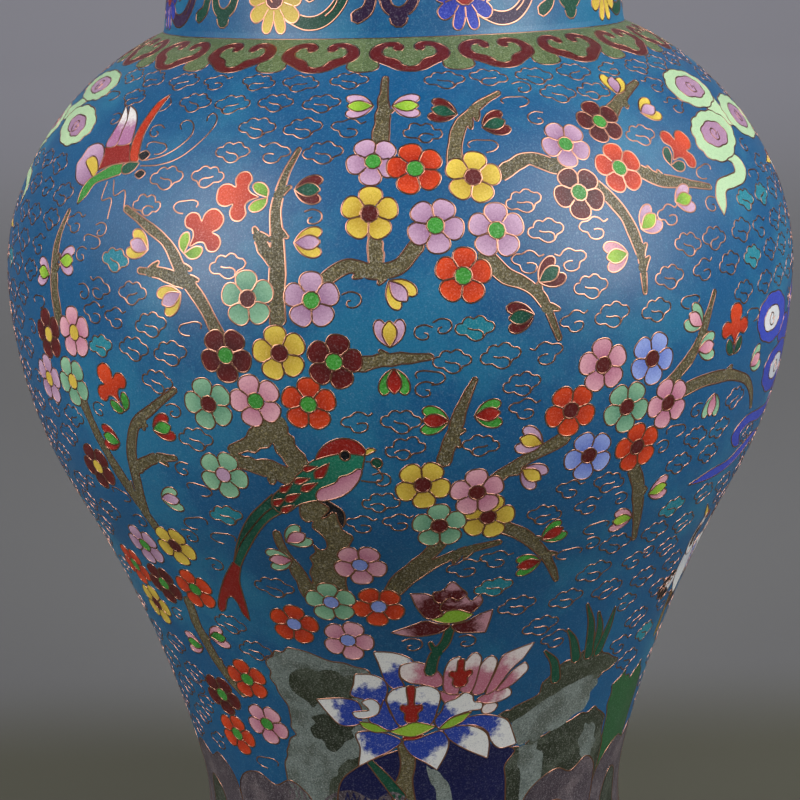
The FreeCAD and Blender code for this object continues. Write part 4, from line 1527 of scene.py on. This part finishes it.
butterflyWires = [
    [(-39.9, 41.3), (-36.4, 40.7), (-33, 38.5), (-30.1, 33.5), (-29.1, 29.8), (-29.4, 27.6), (-30.5, 26.7),
        (-31.1, 27.7), (-30.8, 29.3)],
    [(-39.5, 39.9), (-36.3, 38.4), (-33.8, 35.6), (-32.6, 32.5), (-33.3, 29.7), (-35, 28.9), (-35.7, 30.2),
        (-34.9, 31.7)],
    [(-41.6, 22.8), (-40.5, 24.2), (-40.8, 26), (-42.1, 26.9)],
    [(-45.6, 45.8), (-45.4, 50.3), (-43.5, 49.6), (-43, 54.4)],
    [(-44.3, 45.2), (-43, 48.9), (-41.3, 47.4), (-40.3, 51.8)],
]


def butterfly(shift, flip):
    drawParts(butterflyParts, shift, flip)
    for points in butterflyWires:  # with a little clear ground on each side of each
        line = along(onSide(points, shift, flip))
        chart.wire(line)
        chart.waiting.append(wound(spread(stroke(line, [1.2]))))
    chart.settle()


curl = curve([(1.9, 0.3), (1.0, -1.5), (-1.0, -1.5), (-1.9, 0.2), (-0.9, 1.5), (0.7, 1.2), (0.9, 0.0),
    (-0.1, -0.4)])

# the lobes of a cloud, each with its heart, then the arms that join and trail from them
rightCloud = {
    "lobes": [
        ([(58, 20), (63, 20.4), (66.4, 22.6), (68.3, 26), (67.4, 29.8), (64, 31.8), (59.6, 32.4),
          (55.6, 30.6), (53.2, 27), (54.2, 22.6)],
         [(57.4, 23.4), (61.8, 22.4), (65.2, 24), (65.8, 27.2), (63.4, 29.2), (59.4, 29.2), (56.2, 27.4)]),
        ([(54.6, 33.8), (59, 33), (62.6, 34.4), (64.6, 37.6), (63.8, 41), (61, 44), (57, 46.2), (53, 46),
          (50.6, 43.2), (50.4, 39.4), (51.6, 36)],
         [(55, 36.4), (58.6, 36), (61, 38), (60.6, 41.2), (57.4, 42.8), (54, 42), (52.9, 39)]),
        ([(71, 30.4), (76, 31), (80.4, 33.6), (82.6, 37.6), (81, 42), (76, 44), (70.6, 42.8), (66.6, 39.6),
          (66, 35.6), (67.6, 32.2)],
         [(71.6, 33.4), (76, 34.2), (78.4, 37.2), (76, 40.6), (71.4, 40.2), (68.8, 37.2)]),
    ],
    "arms": [
        [(57.5, 44.6), (60.4, 46.4), (60.8, 49.6), (58.6, 52.2), (54.8, 53), (52, 53.4), (50.8, 56.6),
            (49.6, 58.6, corner), (49, 54.4), (50.8, 50.6), (54.4, 49.8), (57, 49.2), (57.4, 47.4),
            (55.4, 45.6)],
        [(60, 31.6), (64, 30.8), (67, 29.4), (66.6, 33), (67.4, 38.4), (64.6, 38.2), (62, 34.6)],
    ],
}
leftCloud = {
    "lobes": [
        ([(-66, 26), (-71, 26.4), (-76.4, 25), (-80.6, 22), (-78.6, 18.6), (-73.6, 16.6), (-67.6, 16),
          (-62.6, 18.2), (-61.6, 22), (-63, 24.8)],
         [(-66.6, 23.4), (-71, 24), (-75.4, 22), (-73.6, 19.2), (-69, 18.4), (-65, 20.2)]),
        ([(-64.4, 39), (-68.8, 37.2), (-72.4, 33.8), (-72.6, 30.2), (-68.6, 28), (-64, 27.4), (-59.4, 29.4),
          (-57, 32.6), (-58, 36), (-60.8, 38.4)],
         [(-65, 35.6), (-68, 34), (-68.4, 31.4), (-64.6, 30.2), (-61, 31.8), (-60.4, 34.8), (-62.4, 36.4)]),
        ([(-84, 40), (-88.6, 38), (-90, 34), (-87, 30.4), (-82, 29), (-77.4, 30.4), (-75, 34),
          (-76.4, 37.8), (-79.8, 40)],
         [(-84, 37), (-86.4, 34.4), (-83.4, 32), (-79.6, 32.6), (-78.6, 35.4), (-81, 37.2)]),
    ],
    "arms": [
        [(-72, 25.6), (-68.4, 26.2), (-70.4, 29), (-73, 32.6), (-76.4, 33), (-78, 30.6), (-75.2, 28.2)],
        [(-80.4, 39.2), (-83.6, 41.8), (-84.6, 45.6), (-82.4, 49.4), (-78, 50.6), (-75, 52),
            (-73.6, 56, corner), (-72.6, 51.6), (-75, 48.2), (-79, 47.4), (-81, 45.2), (-80.4, 42.8),
            (-78, 40)],
    ],
}
cobaltCloud = {
    "lobes": [
        ([(58.6, 80.6), (62.6, 79.6), (66.8, 81.6), (69.2, 85.6), (68.4, 90), (64.8, 92.2), (60.2, 91.6),
          (57.2, 88.6), (56.4, 84)],
         [(59.2, 84.4), (62.2, 82.8), (65.4, 84.8), (65.2, 88), (61.8, 89.4), (59, 87.8)]),
        ([(71.4, 94), (66.6, 94.4), (62.6, 96.6), (61.6, 100.4), (63.6, 104.4), (68, 107), (73, 106.6),
          (76.4, 103), (76, 97.6)],
         [(70, 97), (66.6, 97.6), (64.8, 100.4), (67, 103.4), (71.4, 103.6), (73.4, 100.2)]),
        ([(75.6, 81), (80.6, 80), (85, 83), (86.4, 87.6), (83.6, 92), (78.8, 93.4), (74, 90.8), (72.6, 86)],
         [(76.6, 84.2), (80.6, 83.4), (83, 86.8), (80.8, 90), (77, 89.6), (75.2, 87)]),
    ],
    "arms": [
        [(66, 91), (70.4, 87.6), (73.6, 90), (75.4, 94), (72, 96), (68, 94.6)],
        [(74, 105.4), (75.8, 109), (73.8, 112.6), (68, 114), (61, 112.8), (58.6, 114.4), (60, 118),
            (57.6, 117.4), (55.4, 113.6), (58.4, 110), (65, 110.2), (70.4, 110.6), (72.6, 108.4),
            (71.4, 106)],
        [(46.6, 123.6, corner), (52, 121.6), (58, 121), (62, 118.8), (66.4, 117.4), (72, 118.4, corner),
            (67.6, 119.6), (63.4, 122), (58, 124), (51.6, 124.4)],
    ],
}


def scalloped(points, depth):
    # the outline with a shallow round bump along each of its stretches
    middle = np.mean(points, axis=0)
    made = []
    for point, following in zip(points, points[1:] + points[:1]):
        for share in (0.0, 0.3, 0.7):
            out = np.array(point) * (1 - share) + np.array(following) * share - middle
            made.append(tuple(middle + out * (1 + (depth if share else -depth))))
    return made


def largeCloud(kind, rim, heart, shift, flip):
    for outer, inner in kind["lobes"]:
        inner = scalloped(inner, 0.08)
        middle = np.mean(inner, axis=0)
        pen = Pen((-1 if flip else 1) * middle[0] + shift, middle[1], 0.0, 0.95, flip)
        chart.wire(pen.at(curl))
        patch(heart, inner, 0.4, shift, flip)
        patch(rim, scalloped(outer, 0.045), 0.8, shift, flip)
    for arm in kind["arms"]:
        patch(rim, arm, 0.8, shift, flip)


def cranePiece(pen, finish, points, shade=0.7):
    if isinstance(shade, tuple):
        shade = tuple(pen.at(shade))
    chart.paint(finish, [pen.at(cornered(points))], shade=shade)


def plume(pen, u, v, turn, length, width, tipped=True):
    # one feather, with a black tip or black all over
    own = pen.moved(u, v, turn)
    half = width / 2
    if tipped:
        tip = symmetric([(0, length * 0.66), (half * 0.96, length * 0.72), (half * 0.7, length * 0.93),
            (0, length)])
        chart.paint("black", [own.at(tip)], shade=0.3)
    whole = symmetric([(0, 0), (half * 0.7, length * 0.3), (half, length * 0.72),
        (half * 0.74, length * 0.93), (0, length * 1.01)])
    chart.paint("white" if tipped else "black", [own.at(whole)], shade=tuple(own.at([(0, 0), (0, length)])))


def crane(angle, travel, turn, size, flip=False):
    pen = Pen(angle, travel, -turn if flip else turn, size, flip)
    cranePiece(pen, "black", [(-19.6, 6.5), (-19.0, 7.1), (-18.3, 6.6), (-18.9, 5.9)], 0.1)
    cranePiece(pen, "red", [(-21.4, 7.0), (-20.2, 8.7), (-17.8, 8.9), (-16.8, 7.3), (-19.0, 7.5)])
    cranePiece(pen, "yellow", [(-28.6, 3.4, corner), (-24.4, 5.6), (-21.2, 7.1, corner), (-20.7, 5.2),
        (-24.0, 4.0)])
    cranePiece(pen, "black", [(-17.4, 4.9), (-15.6, 4.3), (-12.8, 2.2), (-9.2, 1.7), (-9.4, 0.5),
        (-13.4, 0.4), (-16.4, 2.4)], 0.4)
    cranePiece(pen, "white", [(-21.4, 6.6), (-19.0, 7.5), (-16.6, 6.7), (-14.2, 4.3), (-11.0, 2.9),
        (-6.6, 3.8), (-5.4, 0.6), (-8.4, -1.4), (-13.2, -1.0), (-16.9, 1.4), (-19.4, 4.4)])
    cranePiece(pen, "white", [(-7.6, 3.2), (-2, 5.4), (5, 4.6), (11, 1.4), (13, -1.0), (8, -3.8), (1, -5.2),
        (-5, -4.0), (-8.8, -1.0)], ((-6, 3), (8, -8)))
    for turn in (-84, -98, -112):
        plume(pen, 9.4, -0.8, turn, 9.0, 3.2, False)
    for low, far in ((-2.6, -8.0), (-3.4, -10.0)):
        chart.area("yellow", [stroke(pen.at(curve([(8.0, low), (16.0, (low + far) / 2), (26.0, far)])), [1.1,
            0.9, 1.2])])
    chart.settle()
    for scale in range(3):
        cranePiece(pen, "periwinkle", [(-3.2 + 3.4 * scale, 4.6), (-4.4 + 3.4 * scale, 7.6),
            (-1.6 + 3.4 * scale, 9.2), (0.6 + 3.4 * scale, 7.4), (0.2 + 3.4 * scale, 4.6)])
    cranePiece(pen, "white", [(-5.4, 3.4), (-7.4, 8.6), (-5.0, 13.0), (0.6, 14.8), (6.0, 12.4), (8.8, 7.4),
        (7.8, 3.0), (0, 4.6)])
    for index in range(7):
        plume(pen, -3.4 + 1.8 * index, 8.0 + 0.5 * min(index, 6 - index), 42 - 18 * index,
            17.0 - abs(index - 2) * 0.9, 3.9)
    for index in range(5):
        plume(pen, -1.6 + 1.6 * index, -2.6, 206 - 21 * index, 13.4 - abs(index - 2) * 0.9, 3.8)


for shift, flip, heart in ((0.0, False, "lilac"), (180.0, True, "pink")):
    butterfly(shift, flip)
    largeCloud(rightCloud, "pale_green", heart, shift, flip)
    largeCloud(leftCloud, "pale_green", heart, shift, flip)
    largeCloud(cobaltCloud, "cobalt", "white", shift, flip)
    if not flip:  # the back's butterfly and clouds come after these, so they lie under them
        crane(90.0, 64.0, -20.0, 1.05)
        crane(64.0, 156.0, -62.0, 0.8)
        crane(-91.0, 74.0, -16.0, 1.05, True)
        crane(-92.0, 168.0, -24.0, 0.85)
largeCloud(cobaltCloud, "cobalt", "celadon", -22.0, True)
crane(112.0, 157.0, -62.0, 0.8, True)
print("butterflies, large clouds and cranes")


# ---- small clouds over all that is left ----
cloudSettings = {
    "rowStep": 6.6,
    "pitch": 10.6,
    "size": 0.95,
    "top": 17.0,
    "bottom": 3.0,
    "wider": 1.2,  # lower down the clouds are larger and farther apart by this
    "widerFrom": 125.0,
    "room": (1.04, 1.3),  # clear ground that a cloud asks for in the first pass and in the second
    "secondPassStep": 1 / 1.7,
    "stray": 0.5,  # from the even row
    "closedFirst": (0.85, 0.7),  # how often a closed cloud is tried before an open one, in each pass
    "tilt": 9,
    "sizes": (0.94, 1.04),
    "flipped": 0.25,  # the share of clouds that are mirrored
    "filled": 0.03,  # and of closed ones that are filled with turquoise
    "closedKinds": 2,  # the first shapes are closed outlines
}
cloudShapes = [
    (
        loop([
            (-4.6, 0.0), (-4.1, 1.1), (-3.0, 1.2), (-2.6, 2.2), (-1.3, 2.7), (-0.4, 2.2), (0.8, 2.9),
            (2.1, 2.5), (2.7, 1.6), (3.9, 1.4), (4.6, 0.3), (3.9, -0.8), (2.6, -1.2), (1.7, -2.4),
            (0.1, -2.9), (-1.3, -2.3), (-2.1, -1.5), (-3.5, -1.4), (-4.4, -0.8),
        ]),
        curve([(1.7, -2.4), (1.9, -1.2), (0.9, -0.4), (-0.6, -0.3), (-1.7, 0.1)]),
    ),
    (
        loop([
            (-4.4, -0.4), (-3.9, 0.9), (-2.6, 0.8), (-2.1, 2.1), (-0.7, 2.6), (0.5, 2.0), (1.5, 2.7),
            (3.0, 2.3), (3.2, 1.1), (4.4, 0.6), (4.3, -0.8), (3.0, -1.4), (1.4, -1.5), (0.2, -2.6),
            (-1.5, -2.5), (-2.2, -1.6), (-3.5, -1.6),
        ]),
        curve([(0.2, -2.6), (1.0, -1.3), (0.1, -0.3), (-1.5, -0.3), (-2.4, -0.7)]),
    ),
    (
        curve([
            (4.4, 1.9), (3.2, 1.3), (2.2, 2.2), (0.6, 2.6), (-0.9, 1.7), (-2.5, 1.5), (-3.4, 0.3),
            (-2.6, -0.6), (-1.4, -0.9), (-0.9, -2.1), (0.9, -2.6), (2.5, -1.9), (2.7, -0.7), (1.4, -0.2),
            (0.0, -0.4),
        ]),
    ),
    (
        curve([
            (-3.0, -0.2), (-3.4, 0.9), (-2.0, 1.6), (0.2, 1.5), (2.6, 1.1), (3.4, -0.1), (2.2, -1.3),
            (0.0, -1.7),
        ]),
    ),
    (
        curve([
            (-2.2, 1.3), (-0.2, 1.9), (1.8, 1.0), (1.9, -0.6), (0.4, -1.6), (-1.2, -1.2), (-1.0, -0.2),
            (0.2, 0.0),
        ]),
    ),
]


def smallCloud(angle, travel, kinds, size, room):
    # draws the first kind of cloud that has room there, and says whether one had
    for kind in kinds:
        tilt = draw.uniform(-cloudSettings["tilt"], cloudSettings["tilt"])
        own = size * draw.uniform(*cloudSettings["sizes"])
        pen = Pen(angle, travel, tilt, own, draw.random() < cloudSettings["flipped"])
        lines = [pen.at(line) for line in cloudShapes[kind]]
        wide = Pen(angle, travel, math.degrees(pen.turn), pen.size * room, pen.flip)
        if not chart.blocked(np.concatenate([wide.at(line) for line in cloudShapes[kind]])):
            isClosed = kind < cloudSettings["closedKinds"]
            if isClosed and draw.random() < cloudSettings["filled"]:
                chart.cell("teal", [lines[0]])
            for index, line in enumerate(lines):
                chart.wire(line, isClosed and index == 0)
            chart.waiting.append(wound(spread(lines[0])))
            chart.settle()
            return True
    return False


def fillClouds():
    # one pass in even rows, then one that looks for gaps
    count = 0
    last = bandOf("body_enamel")[1] - cloudSettings["bottom"]
    stray, often = cloudSettings["stray"], cloudSettings["closedFirst"]
    for again in (0, 1):
        travel = cloudSettings["top"]
        row = 0
        while travel < last:
            wider = cloudSettings["wider"] if travel > cloudSettings["widerFrom"] else 1.0
            size = cloudSettings["size"] * (1 + wider) / 2
            number = round(360 * float(unitAt(travel)) / (cloudSettings["pitch"] * wider)) * (1 + again)
            for index in range(number):
                angle = 360 / number * (index + (row % 2) * 0.5) + draw.uniform(-stray, stray)
                kinds = (0, 1, 2, 3) if draw.random() < often[0] else (2, 1, 0, 4)
                if again:
                    kinds = (1, 0, 2) if draw.random() < often[1] else (3, 4)
                place = travel + draw.uniform(-stray, stray)
                count += smallCloud(angle, place, kinds, size, cloudSettings["room"][again])
            step = cloudSettings["secondPassStep"] if again else 1
            travel += cloudSettings["rowStep"] * (1 + wider) / 2 * step
            row += 1
    print("small clouds", count)


fillClouds()


# ---- building ----
wireSettings = {"width": 0.36, "proud": 0.08, "deep": 0.12, "pieces": 8}  # mm
groundSettings = {"columns": 289, "rowStep": 1.4, "depth": 0.6 * mm, "seamWithin": 1e-4, "mergeWithin": 1e-6}


def onChart(places, lift):
    # chart places as points of a flat mesh
    return np.column_stack([np.radians(places[:, 0]), -places[:, 1] * mm, np.full(len(places), lift)])


def flatMesh(name, entries):
    # one mesh of flat cells, with each cell's shade and tone on its points
    points, faces, shades, tones = [], [], [], []
    for places, triangles, shade, tone in entries:
        first = sum(len(p) for p in points)
        used = sorted({i for t in triangles for i in t})
        where = {old: first + new for new, old in enumerate(used)}
        points.append(onChart(places, chartSettings["cellLift"] * mm)[used])
        faces += [[where[i] for i in t] for t in triangles]
        if isinstance(shade, tuple):
            start, end = spread(shade)
            way = end - start
            level = ((spread(places) - start) @ way) / (way @ way)
        else:
            level = np.full(len(places), shade)
        shades.append(level[used])
        tones.append(np.full(len(used), draw.uniform(-1, 1) if tone is None else tone))
    mesh = bpy.data.meshes.new(name)
    mesh.from_pydata(np.concatenate(points).tolist(), [], faces)
    for label, values in (("shade", shades), ("tone", tones)):
        kept = mesh.attributes.new(label, "FLOAT", "POINT")
        kept.data.foreach_set("value", np.clip(np.concatenate(values), -1, 1).astype(np.float32))
    return mesh


def lineMesh(name, wires):
    points, edges = [], []
    for places, closed in wires:
        first, count = len(points), len(places)
        points += onChart(places, 0.0).tolist()
        edges += [(first + i, first + i + 1) for i in range(count - 1)]
        if closed:
            edges.append((first + count - 1, first))
    mesh = bpy.data.meshes.new(name)
    mesh.from_pydata(points, edges, [])
    return mesh


def wireSection():
    half, top, low = wireSettings["width"] / 2, wireSettings["proud"], -wireSettings["deep"]
    right = [(low, half), (top * 0.5, half), (top, half * 0.65)]
    return lineObject("wire section", right + [(u, -v) for u, v in reversed(right)], True)


def placePiece(piece, slot, *replaced):
    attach(piece, "root")
    if replaced:
        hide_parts(*replaced)


coats = outlineSettings["above"] + outlineSettings["below"]


def buildGrounds():
    tree = groundTree()
    for node in coats:
        start, end = bandOf(node)
        if node == "body_enamel":
            start = 0.0  # at the neck joint
        sizes = {
            "Start": start * mm,
            "Length": (end - start) * mm,
            "Columns": groundSettings["columns"],
            "Rows": max(3, round((end - start) / groundSettings["rowStep"])),
            "Depth": groundSettings["depth"],
            "Merge within": groundSettings["mergeWithin"],
            "Material": finishes["blue"],
        }
        placePiece(grown(node.replace("_enamel", "_ground"), tree, sizes), "sky_blue_enamel", node)
    print("grounds", len(coats))


def buildCells():
    tree = cellTree()
    sizes = {"Depth": chartSettings["cellDepth"] * mm, "Merge within": chartSettings["mergeWithin"] * mm}
    for finish, entries in chart.cells.items():
        values = sizes | {"Material": finishes[finish]}
        piece = grown(finish + "_cells", tree, values, flatMesh(finish, entries))
        placePiece(piece, "sky_blue_enamel")
        print("cells", finish, len(entries), "of", len(piece.data.polygons), "faces")


def buildWires():
    tree = wireTree()
    section = wireSection()
    wires = sorted(chart.wires, key=lambda w: w[0][:, 0].mean())
    share = math.ceil(len(wires) / wireSettings["pieces"])
    for index in range(wireSettings["pieces"]):
        chosen = wires[index * share : (index + 1) * share]
        name = f"wires_{index + 1}"
        piece = grown(name, tree, {"Section": section, "Material": wireFinish}, lineMesh(name, chosen))
        placePiece(piece, "copper_wire")
        print("wires", index + 1, len(chosen), "of", len(piece.data.polygons), "faces")
    bpy.data.objects.remove(section)


buildGrounds()
buildCells()
buildWires()
bpy.data.objects.remove(outlineCurve)

# ---- finishes of the nodes that stay; what isn't named here is lining ----
nodeFinishes = dict.fromkeys(("lip_ring", "foot_ring"), giltFinish)
nodeFinishes |= dict.fromkeys(("base_plate", *outlineSettings["copper"]), copperFinish)
nodeFinishes |= dict.fromkeys(("lip_wire", "neck_wire", "neck_joint_wire", "foot_wire", "base_wire"),
    ringFinish)
for name, node in nodes.items():
    if name not in coats:
        node.data.materials.clear()
        node.data.materials.append(nodeFinishes.get(name, finishes["lining"]))
print("nodes finished", len(nodes) - len(coats))


# ---- floor, lights and camera ----
stageSettings = {
    "floorBends": ((-3, 0), (2.0, 0), (2.5, 0.06), (2.85, 0.3), (3.0, 0.7), (3.0, 4.0)),  # y and z
    "halfWidth": 4,
    # the floor is darker and warmer at the front: partly its own tint, partly painted shade
    "nearTintAndShade": rgb(84, 83, 70),
    "floorColour": rgb(111, 111, 112),
    "floorFrom": (0.09, 0.18),  # y at which the darker front, partly painted shade, gives way
    # the wall is lighter and cooler than the floor: partly its own tint, partly painted light
    "wallTintAndLight": rgb(142, 141, 149),
    "wallFrom": (0.6, 2.5),
    "floorRoughness": 0.9,
    "worldColour": (0.94, 0.96, 1.0, 1.0),
    "worldStrength": 0.06,
    "cameraPlace": (0.0, -0.5131, 0.2655),
    "lens": 90.0,
    "pitch": 13.48,
    "roll": -1.53,
    "pan": 0.11,
}
# each lamp's place, what it points at, its two sizes in metres and its watts
lamps = {
    "left softbox": ((-0.5, -0.37, 0.46), (-0.04, 0, 0.19), (0.3, 0.6), 4.2),
    "right softbox": ((0.51, -0.34, 0.48), (0.04, 0, 0.19), (0.38, 0.6), 5.1),
    "left side": ((-1.1, 0.1, 0.7), (0, 0, 0.25), (0.4, 0.5), 1.1),
    "right side": ((1.0, 0.15, 0.75), (0, 0, 0.25), (0.4, 0.5), 1.7),
    "front fill": ((0.0, -2.2, 1.2), (0, 0, 0.25), (1.4, 1.0), 0.8),
    "back": ((0.0, 1.3, 1.5), (0, 0, 0.2), (1.2, 0.8), 4.5),
    "wall wash": ((0.0, 1.2, 2.6), (0, 3.0, 1.6), (2.4, 0.6), 66),
}


def buildFloor():
    mesh = bpy.data.meshes.new("floor")
    wide, bends = stageSettings["halfWidth"], stageSettings["floorBends"]
    points = [(x, y, z) for y, z in bends for x in (-wide, wide)]
    faces = [(2 * i, 2 * i + 1, 2 * i + 3, 2 * i + 2) for i in range(len(bends) - 1)]
    mesh.from_pydata(points, [], faces)
    floor = newObject("floor", mesh)
    material, graph = materialGraph("floor")
    away = graph.parts(graph.node("ShaderNodeTexCoord").outputs["Object"])[1]
    # painted shade at the front of the floor and painted light up the wall, over their own tints
    gone = between(graph, away, *stageSettings["floorFrom"])
    colour = mixed(graph, gone, stageSettings["nearTintAndShade"], stageSettings["floorColour"])
    gone = between(graph, away, *stageSettings["wallFrom"])
    colour = mixed(graph, gone, colour, stageSettings["wallTintAndLight"])
    finishMaterial(graph, {"Base Color": colour, "Roughness": stageSettings["floorRoughness"]})
    mesh.materials.append(material)
    for polygon in mesh.polygons:
        polygon.use_smooth = True


def buildLights():
    for name, (place, target, size, power) in lamps.items():
        light = bpy.data.lights.new(name, "AREA")
        light.shape = "RECTANGLE"
        light.size, light.size_y = size
        light.energy = power
        made = newObject(name, light)
        made.location = place
        made.rotation_euler = (Vector(target) - Vector(place)).to_track_quat("-Z", "Y").to_euler()
    world = bpy.data.worlds.new("world")
    world.use_nodes = True
    background = world.node_tree.nodes["Background"]
    background.inputs["Color"].default_value = stageSettings["worldColour"]
    background.inputs["Strength"].default_value = stageSettings["worldStrength"]
    bpy.context.scene.world = world


def buildCamera():
    data = bpy.data.cameras.new("camera")
    data.lens = stageSettings["lens"]
    data.sensor_width = 36
    data.clip_start = 0.01
    camera = newObject("camera", data)
    camera.location = stageSettings["cameraPlace"]
    pitch, roll, pan = (math.radians(stageSettings[k]) for k in ("pitch", "roll", "pan"))
    facing = Euler((0, 0, pan)).to_matrix() @ Euler((math.pi / 2 - pitch, 0, 0)).to_matrix()
    camera.rotation_euler = (facing @ Euler((0, 0, roll)).to_matrix()).to_euler()
    bpy.context.scene.camera = camera


buildFloor()
buildLights()
buildCamera()
bpy.context.scene.view_settings.view_transform = "Standard"

print("pieces placed")
